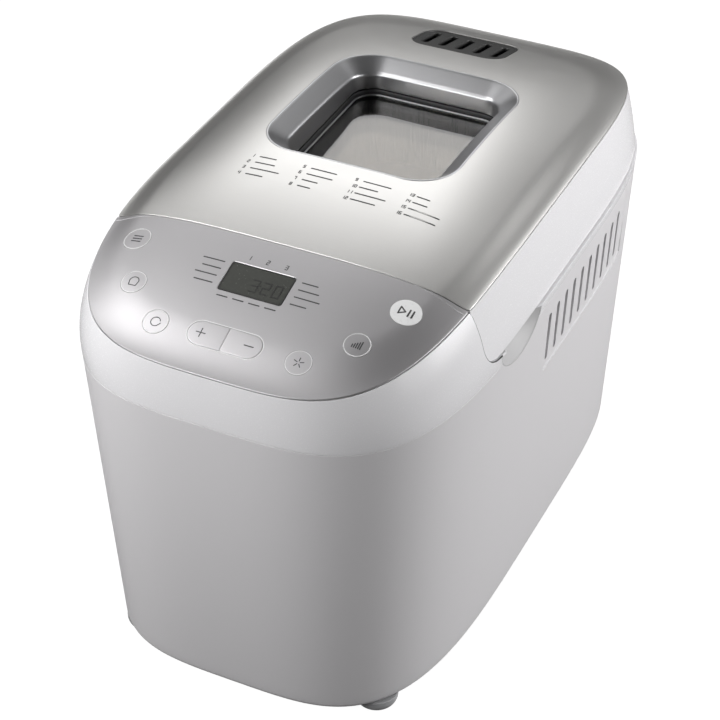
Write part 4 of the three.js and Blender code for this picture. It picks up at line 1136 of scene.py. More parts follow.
def dome_cutter(name, outline, chamfer=0.45):
    """A punch for a hole in a plate, with a chamfer at the surface."""
    profile = [(0, 10), (0, chamfer - 0.05), (-chamfer, -0.05), (-chamfer, -6)]
    return sweep(name, outline, profile, False, height=through_dome, radius=0)


def lid_panel():
    side = [y / TOP_HALF_DEPTH for y in steps((SEAM_CORNER_Y + 2, 186, 3.0))]
    corner_x = TOP_HALF_WIDTH * side_unit(SEAM_CORNER_Y / TOP_HALF_DEPTH, 1)[0]
    front_x = np.linspace(-corner_x, corner_x, SEAM_COLUMNS)
    boundary = outline_from(right_side(side) + back_end() + left_side(side))
    boundary += [(x, y + SEAM_GAP) for x, y in zip(front_x, seam_depth(front_x))]
    boundary = corner_rounded(np.array(boundary), 2.0)
    skin = plate("lid_panel", boundary, (WINDOW["x"], WINDOW["y"]), SKIN, rows=52)
    window = straight_filled(rounded_rect(**WINDOW, grow=0.2), 6)
    grille = straight_filled(rounded_rect(**GRILLE), 6)
    carve(skin, dome_cutter("window_punch", window), dome_cutter("grille_punch", grille, 0.5))
    smooth_dome(skin)
    wear(skin, "brushed_top")
    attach(skin, "lid")
    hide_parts("lid_skin")


# ---------------------------------------------------------------- control panel

BUTTON_PLAN = {
    "menu_button": (-89.8, -137.9, 9.0), "loaf_size_button": (-73.9, -170.1, 8.2),
    "dough_button": (-47.0, -191.5, 8.2), "custom_button": (47.0, -191.5, 8.2),
    "crust_button": (73.9, -170.1, 8.2), "start_button": (89.8, -137.9, 9.4),
}


def panel_map(x, y):
    """Maps points drawn flat about the origin to the panel around a plan point."""
    normal = Vector(dome_normal(np.array([x]), np.array([y]))[0])
    turn = Vector((0, 0, 1)).rotation_difference(normal).to_matrix()
    origin = Vector((x, y, float(dome_height(x, y))))

    def place(ring, depth):
        flat = np.array([origin + turn @ Vector((u, v, 0)) for u, v in ring])
        if abs(depth) < 5:
            flat[:, 2] = dome_height(flat[:, 0], flat[:, 1])
        return flat - np.array(normal) * depth

    return place


def panel_body(name, outline, profile, at, radius=0.3):
    """A capped body drawn flat, whose levels are depths below the panel's surface at a plan point."""
    place = panel_map(*at)
    rows = filleted(profile, False, radius)
    grid = np.stack([place(inset_outline(outline, inset), depth) for inset, depth in rows], axis=1)
    columns, count = grid.shape[:2]
    faces = loop_faces(columns, count, True, False) + fan_faces(columns, count)
    points = list(grid.reshape(-1, 3))
    middle = outline.mean(axis=0, keepdims=True)
    points += [place(middle, rows[0][1])[0], place(middle, rows[-1][1])[0]]
    return new_object(name, points, faces)


def panel_ring(name, outline, inner, outer, height, at):
    """A thin raised ring on the panel, between two insets of an outline."""
    place = panel_map(*at)
    profile = [(outer, 0.1), (outer, -height), (inner, -height), (inner, 0.1)]
    rows = filleted(profile, True, height * 0.6)
    grid = np.stack([place(inset_outline(outline, inset), depth) for inset, depth in rows], axis=1)
    return new_object(name, grid.reshape(-1, 3), loop_faces(grid.shape[0], grid.shape[1], True, True))


PILL_SPLIT = 0.05  # half of the gap between the plus and the minus


def pill_outline(side):
    """One half of the plus and minus pill, anticlockwise."""
    r = PILL["r"]
    end = PILL["hx"] - r
    arc = [(end + r * math.cos(a), r * math.sin(a)) for a in np.linspace(-math.pi / 2, math.pi / 2, 33)]
    points = np.array([(PILL_SPLIT, -r), *arc, (PILL_SPLIT, r)])
    return points if side > 0 else -points


def punch(name, outline, at, chamfer=0.1):
    return panel_body(name, outline, [(0, 12), (0, chamfer), (-chamfer, -0.02), (-chamfer, -6)], at, 0)


CAP_GAP = 0.09
CAP_PROUD = 0.08


def cap(name, outline, at, look="button_silver"):
    """A push button: a slightly crowned cap with a rounded rim."""
    profile = [
        (1, BUTTON_HEIGHT), (0, BUTTON_HEIGHT), (0, -CAP_PROUD + 0.04, 0.15),
        (0.6, -CAP_PROUD), (3, -CAP_PROUD),
    ]
    button = panel_body(name, outline, profile, at, 0.15)
    wear(button, "start_white" if look == "start_white" else "button_silver", look)
    return button


def control_panel():
    corner_x = TOP_HALF_WIDTH * side_unit(SEAM_CORNER_Y / TOP_HALF_DEPTH, 1)[0]
    back_x = np.linspace(corner_x, -corner_x, SEAM_COLUMNS)
    side = [y / TOP_HALF_DEPTH for y in steps((-176, SEAM_CORNER_Y - 2, 3.0))]
    boundary = [(x, y - SEAM_GAP) for x, y in zip(back_x, seam_depth(back_x))]
    boundary += outline_from(left_side(side) + front_end() + right_side(side))
    boundary = corner_rounded(np.array(boundary), 2.0)
    fascia = plate("control_panel", boundary, (0, -163), SKIN, rows=34)
    cutters = []
    for name, (x, y, r) in BUTTON_PLAN.items():
        cutters.append(punch(name + "_punch", circle(r + CAP_GAP, 72), (x, y)))
    pill = rounded_rect(0, 0, PILL["hx"] + CAP_GAP, PILL["r"] + CAP_GAP, PILL["r"] + CAP_GAP - 0.01, arc=24)
    cutters.append(punch("pill_punch", pill, (PILL["x"], PILL["y"])))
    screen = rounded_rect(0, 0, LCD["hx"], LCD["hy"], 1.8, arc=8)
    cutters.append(punch("screen_punch", screen, (LCD["x"], LCD["y"]), 0.3))
    carve(fascia, *cutters)
    smooth_dome(fascia)
    wear(fascia, "satin_silver")
    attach(fascia, "base")
    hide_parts("control_fascia")


def stroke(a, b, width):
    """Outline of a short bar with round ends."""
    a, b = np.array(a, float), np.array(b, float)
    length = np.linalg.norm(b - a)
    bar = rounded_rect(0, 0, length / 2 + width / 2, width / 2, width / 2 - 0.01, arc=5)
    turn = math.atan2(b[1] - a[1], b[0] - a[0])
    rotation = np.array([[math.cos(turn), math.sin(turn)], [-math.sin(turn), math.cos(turn)]])
    return bar @ rotation + (a + b) / 2


def arc_strokes(cx, cy, r, start, end, width, count=10):
    angles = [math.radians(start + (end - start) * i / count) for i in range(count + 1)]
    points = [(cx + r * math.cos(a), cy + r * math.sin(a)) for a in angles]
    return [stroke(p, q, width) for p, q in zip(points, points[1:])]


INK = 0.08
ICONS = {
    "menu_button": [stroke((-3, 2.2), (3, 2.2), 0.85), stroke((-3, 0), (3, 0), 0.85),
                    stroke((-3, -2.2), (3, -2.2), 0.85)],
    "loaf_size_button": arc_strokes(0, 0.6, 3.0, 0, 180, 0.6) + [
        stroke((-3, 0.6), (-2.4, -2.6), 0.6), stroke((3, 0.6), (2.4, -2.6), 0.6),
        stroke((-2.4, -2.6), (2.4, -2.6), 0.6)],
    "dough_button": arc_strokes(0, 0, 3.0, 20, 330, 0.6, 14) + [stroke((2.6, -1.5), (3.4, -0.4), 0.6)],
    "custom_button": [
        stroke((3.2 * math.cos(a), 3.2 * math.sin(a)), (1.1 * math.cos(a), 1.1 * math.sin(a)), 0.6)
        for a in np.linspace(0, 2 * math.pi, 6)[:-1] + math.pi / 2],
    "crust_button": [stroke((-2.6 + 1.3 * i, -2.4), (-2.6 + 1.3 * i, -0.6 + 0.8 * i), 0.75)
                     for i in range(5)],
    "start_button": [stroke((-4.2, 2.6), (-4.2, -2.6), 0.9), stroke((-4.2, 2.6), (-0.4, 0), 0.9),
                     stroke((-4.2, -2.6), (-0.4, 0), 0.9), stroke((1.8, 2.5), (1.8, -2.5), 1.0),
                     stroke((4.2, 2.5), (4.2, -2.5), 1.0)],
    "plus_button": [stroke((-2.9, 0), (2.9, 0), 0.65), stroke((0, -2.9), (0, 2.9), 0.65)],
    "minus_button": [stroke((-2.9, 0), (2.9, 0), 0.75)],
}
SIGN_X = {"plus_button": -15.9, "minus_button": 15.7}


def icon(name, at, shift=0.0):
    """The mark printed on a button."""
    parts = []
    for outline in ICONS[name]:
        moved = outline + np.array([shift, 0])
        profile = [(0, -CAP_PROUD + 0.2), (0, 0.02 - CAP_PROUD - INK), (0.05, -CAP_PROUD - INK)]
        parts.append(panel_body("mark", moved, profile, at, 0))
    mark = joined(name.replace("_button", "_mark"), *parts)
    wear(mark, "black_plastic", "print_grey")
    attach(mark, name)


def buttons():
    for name, (x, y, r) in BUTTON_PLAN.items():
        is_start = name == "start_button"
        button = cap(name + "_cap", circle(r, 72), (x, y), "start_white" if is_start else "button_silver")
        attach(button, name)
        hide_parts(name)
        icon(name, (x, y))
        if not is_start:
            ring = panel_ring(name + "_ring", circle(r, 72), 0.1, 0.65, CAP_PROUD + 0.06, (x, y))
            wear(ring, "button_silver", "ring_grey")
            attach(ring, name)
    for name, side in (("plus_button", -1), ("minus_button", 1)):
        at = (PILL["x"], PILL["y"])
        button = cap(name + "_cap", pill_outline(side), at)
        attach(button, name)
        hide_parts(name)
        icon(name, at, SIGN_X[name])
    whole = rounded_rect(0, 0, PILL["hx"], PILL["r"], PILL["r"] - 0.01, arc=24)
    ring = panel_ring("pill_ring", whole, -CAP_GAP - 0.72, -CAP_GAP - 0.12, 0.06, (PILL["x"], PILL["y"]))
    wear(ring, "button_silver", "ring_grey")
    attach(ring, "base")


PRINT_HEIGHT = 0.11


def flat_print(name, outlines, body_name):
    """Ink on the dome: each outline in plan becomes a thin raised patch."""
    parts = []
    for outline in outlines:
        outline = straight_filled(outline, 2)
        profile = [(0, 0.3), (0, 0.03 - PRINT_HEIGHT), (0.06, -PRINT_HEIGHT)]
        parts.append(sweep("ink", outline, profile, False, height=on_dome, radius=0))
    ink = joined(name, *parts)
    wear(ink, "black_plastic", "print_grey")
    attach(ink, body_name)


SEGMENTS = {
    "0": "abcdef", "1": "bc", "2": "abged", "3": "abgcd", "4": "fgbc", "5": "afgcd", "6": "afgedc",
    "7": "abc", "8": "abcdefg", "9": "abcdfg",
}


def digit_strokes(text, x, y, height, width):
    """Numbers drawn with straight strokes, starting at a plan point."""
    strokes = []
    half, wide = height / 2, height * 0.5
    for character in text:
        ends = {
            "a": ((0, height), (wide, height)), "b": ((wide, height), (wide, half)),
            "c": ((wide, half), (wide, 0)), "d": ((0, 0), (wide, 0)), "e": ((0, half), (0, 0)),
            "f": ((0, height), (0, half)), "g": ((0, half), (wide, half)),
        }
        for key in SEGMENTS[character]:
            (ax, ay), (bx, by) = ends[key]
            strokes.append(stroke((x + ax, y + ay), (x + bx, y + by), width))
        x += wide + height * 0.38
    return strokes


def programme_table():
    """Sixteen numbered lines in front of the window, each a number and a plain bar."""
    outlines = []
    bar_lengths = [11, 13, 19, 11, 17, 17, 10, 8, 18, 12, 20, 16, 8, 9, 20, 20]
    first_x, column_pitch = -58.0, 36.0
    first_y, row_pitch = -49.0, 6.4
    number_width = 5.6
    for column in range(4):
        for row in range(4):
            index = 4 * column + row
            x = first_x + column * column_pitch
            y = first_y - row * row_pitch
            outlines += digit_strokes(str(index + 1), x, y, 2.5, 0.5)
            start = x + number_width
            outlines.append(stroke((start, y + 1.1), (start + bar_lengths[index], y + 1.1), 1.0))
    flat_print("programme_marks", outlines, "lid")


def screen_marks():
    """Plain bars round the display, in place of its legends."""
    x, y = LCD["x"], LCD["y"]
    outlines = []
    for row in range(4):
        level = y + 8.6 - row * 5.4
        outlines.append(stroke((x - 40 + 2 * (row % 2), level), (x - 26, level), 0.8))
        outlines.append(stroke((x + 26, level), (x + 36 + 3 * (row % 3), level), 0.8))
    for column in range(3):
        start = x - 16 + column * 12.4
        outlines += digit_strokes(str(column + 1), start + 2.4, y + 14.4, 3.0, 0.45)
    for column in range(4):
        start = x - 19 + column * 10.6
        outlines.append(stroke((start, y - 14.6), (start + 6.8, y - 14.6), 0.8))
    flat_print("display_marks", outlines, "base")


def display():
    at = (LCD["x"], LCD["y"])
    screen = rounded_rect(0, 0, LCD["hx"] - 0.12, LCD["hy"] - 0.12, 1.7, arc=8)
    lens = panel_body("display_lens", screen, [(1, 1.5), (0, 1.5), (0, 0.25), (0.5, 0.2), (2, 0.2)], at, 0.15)
    wear(lens, "lcd_grey")
    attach(lens, "base")
    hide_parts("lcd_lens")
    border = panel_ring("display_border", screen, 0.9, 0.1, -0.12, at)
    wear(border, "lcd_grey", "lcd_dark")
    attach(border, "base")
    parts = []
    marks = digit_strokes("3", -2.5, -6.6, 8.6, 0.8) + digit_strokes("20", 5.0, -6.6, 8.6, 0.8)
    marks += [stroke((3.1, -4.6), (3.1, -4.3), 0.8), stroke((3.1, -1.4), (3.1, -1.1), 0.8)]
    for outline in marks:
        parts.append(panel_body("segment", outline, [(0, 0.3), (0, 0.14), (0.1, 0.14)], at, 0))
    digits = joined("display_digits", *parts)
    wear(digits, "lcd_grey", "lcd_dark")
    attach(digits, "base")


# ---------------------------------------------------------------- lid


LID_RISES = [0, 0.02, 0.05, 0.11, 0.2, 0.3, 0.41, 0.52, 0.63, 0.73, 0.82, 0.9, 0.95, 0.98, 1]


def lid_skirt():
    start_y, start_z = LID_FRONT_EDGE[0] - 0.36, LID_FRONT_EDGE[1] + 1.2
    curve = edge_curve(0.0, start_y, start_z)
    low = curve + [(y, LID_BOTTOM) for y in SIDE_YS]
    high_ys = partners(len(curve), LID_FRONT_EDGE[0] - 0.1, -80)
    high_ys += [y + 8 * min(1, (-y - 20) / 64) if y < -20 else y for y in SIDE_YS]
    high = [(y, float(edge_height(y)) - TOP_DROP) for y in high_ys]
    strip = side_strip(LID_FORM, low, high, LID_RISES)
    back = []
    for unit in back_end():
        top = float(edge_height(TOP_HALF_DEPTH * unit[1])) - TOP_DROP
        levels = [LID_BOTTOM + (top - LID_BOTTOM) * rise for rise in LID_RISES]
        back.append([wall_point(LID_FORM, unit, level) for level in levels])
    grid = np.concatenate([strip, np.array(back), mirrored(strip)])
    return wall_shell("lid_skirt", grid, wall_normals(LID_FORM, grid), lip=0.22, ring=False, back_every=4)


def lid_knuckles():
    parts = []
    for x in (-HINGE_X, HINGE_X):
        for side in (-1, 1):
            near, far = x + side * (KNUCKLE_HALF + 0.4), x + side * (KNUCKLE_HALF + 7.4)
            low, high = min(near, far), max(near, far)
            parts.append(rod("knuckle", (low, HINGE_Y, HINGE_Z), (high, HINGE_Y, HINGE_Z), KNUCKLE_RADIUS))
            parts.append(block("knuckle_foot", (low, HINGE_Y - KNUCKLE_RADIUS, HINGE_Z),
                               (high, HINGE_Y + KNUCKLE_RADIUS, HINGE_Z + 7)))
    return parts


def lid_ceiling():
    """The lid frame's upper wall, under the metal plate, with the window and grille openings."""
    side = [y / TOP_HALF_DEPTH for y in steps((SEAM_CORNER_Y + 3, 186, 6.0))]
    corner_x = TOP_HALF_WIDTH * side_unit(SEAM_CORNER_Y / TOP_HALF_DEPTH, 1)[0] - 2
    front_x = np.linspace(-corner_x, corner_x, 30)
    boundary = np.array(outline_from(right_side(side) + back_end() + left_side(side))) * 0.985
    boundary = np.vstack([boundary, [(x, y + 1.6) for x, y in zip(front_x, seam_depth(front_x))]])
    boundary = corner_rounded(boundary, 3.0)
    ceiling = plate("lid_ceiling", boundary, (WINDOW["x"], WINDOW["y"]), 2.4, 0.3, rows=14, lift=-SKIN - 0.3)
    window = rounded_rect(**WINDOW, grow=0.8)
    grille = rounded_rect(**GRILLE, grow=0.4)
    return carve(ceiling, dome_cutter("window_punch", window, 0.1), dome_cutter("grille_punch", grille, 0.1))


def lid_frame():
    skirt = lid_skirt()
    notches = [
        block("notch", (x - KNUCKLE_HALF - 0.4, 204, 225), (x + KNUCKLE_HALF + 0.4, 225, HINGE_Z + 5), 0.3)
        for x in (-HINGE_X, HINGE_X)
    ]
    carve(skirt, *notches, solver="FAST")
    front = cross_wall("lid_front", LID_FORM, 0.0, 2.2, 0.9, 0.5)
    result = joined("lid_casing", skirt, front, lid_ceiling(), *lid_knuckles())
    wear(result, "gloss_white")
    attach(result, "lid")
    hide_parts("lid_frame")


WELL_DEPTH = 17.0
BLEND_DEPTH = 10.5


def well_height(ring, depth):
    """Depth under the dome near the top of the window well, turning into a level at its bottom."""
    dome = dome_height(ring[:, 0], ring[:, 1])
    if depth <= BLEND_DEPTH:
        return dome - depth
    share = (depth - BLEND_DEPTH) / (WELL_DEPTH - BLEND_DEPTH)
    return (dome - BLEND_DEPTH) * (1 - share) + WELL_BOTTOM * share


def window():
    outline = straight_filled(rounded_rect(**WINDOW, arc=20), 6)
    bezel = sweep("window_surround", outline, [
        (10.6, WELL_DEPTH), (10.6, 11.5), (0.9, 3.0), (0.5, 0.6), (-0.75, 0.15, 0.05), (-0.7, -0.2, 0.3),
        (0.3, -0.34, 0.4), (1.6, 0.5, 1.2), (11.3, RIDGE_DEPTH - 0.6, 1.6), (12.7, RIDGE_DEPTH + 1.2, 1.2),
        (12.9, WELL_DEPTH),
    ], True, height=well_height)
    wear(bezel, "satin_silver", "bezel_silver")
    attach(bezel, "lid")
    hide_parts("window_bezel")
    low, high = node_box("window_gasket")
    gasket = sweep("window_seal", outline, [
        (9.2, low[2]), (9.2, high[2]), (13.4, high[2]), (13.9, high[2] - 1.2), (14.2, low[2]),
    ], True, radius=0.5)
    wear(gasket, "black_seal")
    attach(gasket, "lid")
    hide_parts("window_gasket")
    trim = sweep("window_trim", outline, [
        (13.95, low[2] - 0.3), (13.95, low[2] + 0.7), (15.2, low[2] + 0.7), (15.2, low[2] - 0.3),
    ], True, radius=0.4)
    wear(trim, "satin_silver", "bezel_silver")
    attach(trim, "lid")
    for name, node in (("outer_window_glass", "outer_glass"), ("inner_window_glass", "inner_glass")):
        low, high = node_box(node)
        shape = box_outline(low, high, 22, arc=16)
        pane = sweep(name, shape, [(1, low[2]), (0, low[2]), (0, high[2]), (1, high[2])], False, radius=0.5)
        wear(pane, "window_glass")
        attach(pane, "lid")
        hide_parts(node)


def steam_grille():
    outline = straight_filled(rounded_rect(**GRILLE, grow=-0.25), 5)
    vent = plate("steam_vent", outline, (GRILLE["x"], GRILLE["y"]), 2.4, 0.3, rows=16, lift=-0.9)
    slots = []
    for i in range(GRILLE_SLOTS):
        x = GRILLE["x"] + (i - (GRILLE_SLOTS - 1) / 2) * GRILLE_SLOT_PITCH
        slot = rounded_rect(x, GRILLE["y"], 2.7, 13.5, 2.6, arc=8)
        profile = [(0, 9), (0, 1.5), (-0.5, 0.8), (-0.5, -6)]
        slots.append(sweep("slot", slot, profile, False, height=through_dome, radius=0))
    carve(vent, *slots)
    frame_ring = sweep("vent_rim", outline, [(0.05, 3.2), (0.05, 0.35), (1.5, 0.45), (1.9, 3.2)], True,
                       height=on_dome, radius=0.4)
    grille = joined("steam_vent", vent, frame_ring)
    wear(grille, "dark_grille")
    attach(grille, "lid")
    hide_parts("steam_grille")
    tray_low = rounded_rect(**GRILLE, grow=-1.5)
    profile = [(0, 11), (0, 5.0), (1.2, 5.0), (1.2, 9.6), (3, 9.6)]
    tray = sweep("vent_tray", tray_low, profile, False, height=on_dome)
    wear(tray, "black_plastic")
    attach(tray, "lid")


def lid_lining():
    low, high = node_box("lid_liner")
    flange = straight_filled(box_outline(low, high, 34), 20)
    sheet = 1.2
    rise = dict(x=0.0, y=48.0, hx=84.0, hy=117.0, r=24.0)
    width = min((high[0] - low[0]) / 2 - rise["hx"], (high[1] - low[1]) / 2 - rise["hy"]) - 1
    dish = sweep("lid_lining_dish", rounded_rect(**rise, grow=sheet), [
        (-10, low[2]), (-10, low[2] + sheet), (0, low[2] + sheet, 2.0), (0, high[2], 4.0), (27.2, high[2]),
        (27.2, high[2] - sheet), (sheet, high[2] - sheet, 3.0), (sheet, low[2], 1.2),
    ], True, radius=0.4)
    rim = sweep("rim", flange, [
        (0, low[2]), (0, low[2] + sheet), (width, low[2] + sheet), (width, low[2]),
    ], True, radius=0.3)
    lining = joined("lid_lining", dish, rim)
    wear(lining, "sheet_steel")
    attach(lining, "lid")
    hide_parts("lid_liner")
    low, high = node_box("lid_seal")
    seal = sweep("lid_gasket", rounded_rect(**rise, grow=12), [
        (0.2, high[2]), (0.2, low[2] + 1.0, 0.9), (3.0, low[2], 1.6), (5.8, low[2] + 1.0, 0.9),
        (5.8, high[2]),
    ][::-1], True, radius=0.3)
    wear(seal, "silicone_seal")
    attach(seal, "lid")
    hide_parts("lid_seal")


# ---------------------------------------------------------------- baking chamber


def chamber():
    low, high = node_box("baking_chamber")
    sheet = 1.5
    box_body = sweep("oven_liner", box_outline(low, high, 26), [
        (20, low[2]), (0, low[2], 5.0), (0, high[2]), (sheet, high[2]), (sheet, low[2] + sheet, 5.0),
        (20, low[2] + sheet),
    ], False, radius=0.4)
    holes = []
    for number in (1, 2):
        shaft_low, shaft_high = node_box(f"shaft_bearing_{number}")
        y = (shaft_low[1] + shaft_high[1]) / 2
        holes.append(rod("hole", (0, y, 40), (0, y, 60), 8.8, edge=0))
    carve(box_body, *holes)
    wear(box_body, "sheet_steel")
    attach(box_body, "base")
    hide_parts("baking_chamber")
    low, high = node_box("chamber_rim")
    rim = sweep("oven_rim", box_outline(low, high, 36), [
        (0, low[2]), (0, high[2]), (12.6, high[2], 0.8), (13.5, low[2] + 0.2),
    ], True, radius=0.4)
    wear(rim, "sheet_steel")
    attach(rim, "base")
    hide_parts("chamber_rim")


def bread_pan():
    low, high = node_box("bread_pan")
    floor, rim, handle_z, sheet = 66.0, 184.0, 191.0, 1.5
    centre_y = (low[1] + high[1]) / 2
    taper = 6.0

    outline = rounded_rect(0, centre_y, 68, 104, 22, arc=16)
    body_part = sweep("pan_body", outline, [
        (taper + 20, floor), (taper, floor, 6.0), (0.2, rim - 3.4, 1.0), (-2.5, rim - 3.0, 1.2),
        (-2.5, rim, 1.2), (sheet, rim, 1.0), (taper + sheet, floor + sheet, 7.0), (taper + 20, floor + sheet),
    ], False)
    skirt = sweep("pan_foot", rounded_rect(0, centre_y, 50, 86, 14), [
        (0, floor - 5), (0, floor + 0.4), (2, floor + 0.4), (2, floor - 5),
    ], True, radius=0.4)
    parts = [body_part, skirt]
    for number in (1, 2):
        shaft_low, shaft_high = node_box(f"pan_shaft_{number}")
        y = (shaft_low[1] + shaft_high[1]) / 2
        carve(body_part, rod("hole", (0, y, 50), (0, y, 90), 5.0, edge=0))
        profile = [(4.4, floor - 0.4), (11, floor - 0.4), (11, floor + 9, 1.5), (4.4, floor + 9)]
        parts.append(lathe("boss", profile, (0, y, 0), closed=True, sides=48))
    for side in (-1, 1):
        y = centre_y + side * 104.0
        outline = [(-8, rim - 6), (8, rim - 6)]
        outline += [(8 * math.cos(a), handle_z + 8 * math.sin(a)) for a in np.linspace(0, math.pi, 25)]
        profile = [(0.3, -1.2), (0, -1.2), (0, 1.2), (0.3, 1.2)]
        ear = sweep("ear", np.array(outline), profile, False, radius=0.3)
        turned(ear, Matrix(((1, 0, 0, 0), (0, 0, -1, y * MM), (0, 1, 0, 0), (0, 0, 0, 1))))
        hole = rod("hole", (0, y - 5, handle_z), (0, y + 5, handle_z), 3.3, edge=0)
        parts.append(carve(ear, hole))
    pan = joined("loaf_pan", *parts)
    wear(pan, "pan_coating")
    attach(pan, "base")
    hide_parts("bread_pan")


def pan_handle():
    low, high = node_box("pan_handle")
    rod_radius = 2.5
    z = (low[2] + high[2]) / 2
    centre_y = (low[1] + high[1]) / 2
    end = (high[1] - low[1]) / 2 - rod_radius
    arm = high[0] - rod_radius
    near = [(0, end - 12), (0, end - 8), (0, end - 5), (0.6, end - 1.6), (3.4, end), (8, end), (25, end),
            (arm - 16, end), (arm - 6, end - 0.4), (arm - 0.4, end - 6), (arm, end - 16), (arm, end / 2),
            (arm, 0)]
    path = [(x, centre_y + y, z) for x, y in near] + [(x, centre_y - y, z) for x, y in near[-2::-1]]
    bail = tube("pan_bail", path, rod_radius)
    wear(bail, "machined_steel")
    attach(bail, "pan_handle")
    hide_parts("pan_handle")


def paddles():
    for number in (1, 2):
        low, high = node_box(f"kneading_paddle_{number}")
        y = (node_box(f"pan_shaft_{number}")[0][1] + node_box(f"pan_shaft_{number}")[1][1]) / 2
        hub = lathe("hub", [(4.4, low[2]), (8.5, low[2]), (8.2, high[2], 2.5), (4.4, high[2] - 0.2)],
                    (0, y, 0), closed=True, sides=48)
        top = lathe("hub_top", [(0, high[2] - 3.4), (4.6, high[2] - 3.4), (4.6, high[2] - 0.6), (0, high[2])],
                    (0, y, 0), sides=48)
        base = low[2]
        corners = [
            (6.5, 0), (34, 0), (37, 3), (36.4, 11), (33, 21), (27, 27.5), (19, 30), (12, 28), (6.5, 22),
        ]
        outline = np.array([(a, base + b) for a, b in corners])
        dense = filleted([tuple(p) for p in outline], True, 6.0, 5)
        blade = sweep("blade", dense, [(1.2, -2), (0, -0.9, 0.8), (0, 0.9, 0.8), (1.2, 2)], False, radius=0.8)
        turned(blade, Matrix(((0, 0, 1, 0), (1, 0, 0, y * MM), (0, 1, 0, 0), (0, 0, 0, 1))))
        paddle = joined(f"paddle_{number}", hub, top, blade)
        wear(paddle, "pan_coating")
        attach(paddle, f"drive_{number}")
        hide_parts(f"kneading_paddle_{number}")


def heater():
    low, high = node_box("heating_element")
    radius = (high[2] - low[2]) / 2
    z = (low[2] + high[2]) / 2
    hx, back = high[0] - radius, high[1] - radius
    lead_end = low[1]
    front = lead_end + 22
    corner, lead = 22.0, 12.0
    middle = 0.5523 * corner

    def half(sign):
        return [
            (sign * lead, lead_end), (sign * lead, lead_end + 8), (sign * lead, front - 8),
            (sign * (lead + 2), front - 1), (sign * (lead + 10), front), (sign * (hx - corner), front),
            (sign * (hx - corner + middle), front + 1), (sign * (hx - 1), front + corner - middle),
            (sign * hx, front + corner), (sign * hx, (front + back) / 2), (sign * hx, back - corner),
            (sign * (hx - 1), back - corner + middle), (sign * (hx - corner + middle), back - 1),
            (sign * (hx - corner), back), (0, back),
        ]

    path = [(x, y, z) for x, y in half(1)] + [(x, y, z) for x, y in half(-1)[-2::-1]]
    element = tube("heater_loop", path, radius)
    wear(element, "heater_sheath")
    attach(element, "base")
    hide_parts("heating_element")


# ---------------------------------------------------------------- small parts outside


def feet():
    for number in (1, 2, 3, 4):
        low, high = node_box(f"foot_{number}")
        centre = ((low[0] + high[0]) / 2, (low[1] + high[1]) / 2, 0)
        foot = lathe(f"rubber_foot_{number}", [
            (0, 0.6), (8, 0.6, 0.3), (9, 0, 0.4), (12.8, 0, 1.0), (14.2, 3.0, 1.5), (14.2, high[2]),
            (0, high[2]),
        ], centre, radius=0.5)
        wear(foot, "grey_rubber")
        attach(foot, "base")
        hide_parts(f"foot_{number}")


def cable_inlet():
    low, high = node_box("cable_inlet")
    x, z = (low[0] + high[0]) / 2, (low[2] + high[2]) / 2
    outer = (high[0] - low[0]) / 2
    length = high[1] - low[1]
    inlet = lathe("inlet_bush", [
        (4.2, 0), (outer - 3.5, 0), (outer - 3.5, length - 4), (outer, length - 4),
        (outer, length - 1.2, 1.0), (6.4, length, 0.6), (4.8, length - 1.0, 0.6), (4.2, length - 3),
    ], closed=True, radius=0.3)
    turned(inlet, Matrix.Translation((x * MM, low[1] * MM, z * MM)) @ Matrix.Rotation(-math.pi / 2, 4, "X"))
    wear(inlet, "black_plastic")
    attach(inlet, "base")
    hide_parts("cable_inlet")


def hinge_pins():
    for name in ("hinge_pin_left", "hinge_pin_right"):
        low, high = node_box(name)
        y, z = (low[1] + high[1]) / 2, (low[2] + high[2]) / 2
        radius = (high[2] - low[2]) / 2
        pin = rod(name.replace("hinge_pin", "pin"), (low[0], y, z), (high[0], y, z), radius, 24, 0.4)
        wear(pin, "machined_steel")
        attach(pin, "base")
        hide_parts(name)


def dress_remaining_nodes():
    """Every CAD node that stays gets the finish of its slot."""
    slots = {part["node"]: part["material_slot"] for part in frame["record"]["subparts"]}
    for name, obj in frame["nodes"].items():
        obj.data.materials.clear()
        obj.data.materials.append(LOOKS[slots[name]])


# ---------------------------------------------------------------- camera, floor and light

CAMERA_TARGET = Vector((0.02901, -0.07573, 0.18984))
CAMERA_AZIMUTH = 26.26
CAMERA_ELEVATION = 37.22
CAMERA_ROLL = -0.69
CAMERA_DISTANCE = 1.36066
CAMERA_LENS = 107.14


def camera():
    azimuth, elevation, roll = (math.radians(a) for a in (CAMERA_AZIMUTH, CAMERA_ELEVATION, CAMERA_ROLL))
    back = Vector((
        math.sin(azimuth) * math.cos(elevation), -math.cos(azimuth) * math.cos(elevation),
        math.sin(elevation),
    ))
    right = (-back).cross(Vector((0, 0, 1))).normalized()
    up = right.cross(-back)
    tilted_right = right * math.cos(roll) + up * math.sin(roll)
    tilted_up = up * math.cos(roll) - right * math.sin(roll)
    data = bpy.data.cameras.new("camera")
    data.lens = CAMERA_LENS
    data.sensor_width = 36
    holder = bpy.data.objects.new("camera", data)
    place = Matrix((tilted_right, tilted_up, back)).transposed().to_4x4()
    holder.matrix_world = Matrix.Translation(CAMERA_TARGET + back * CAMERA_DISTANCE) @ place
    bpy.context.scene.collection.objects.link(holder)
    bpy.context.scene.camera = holder


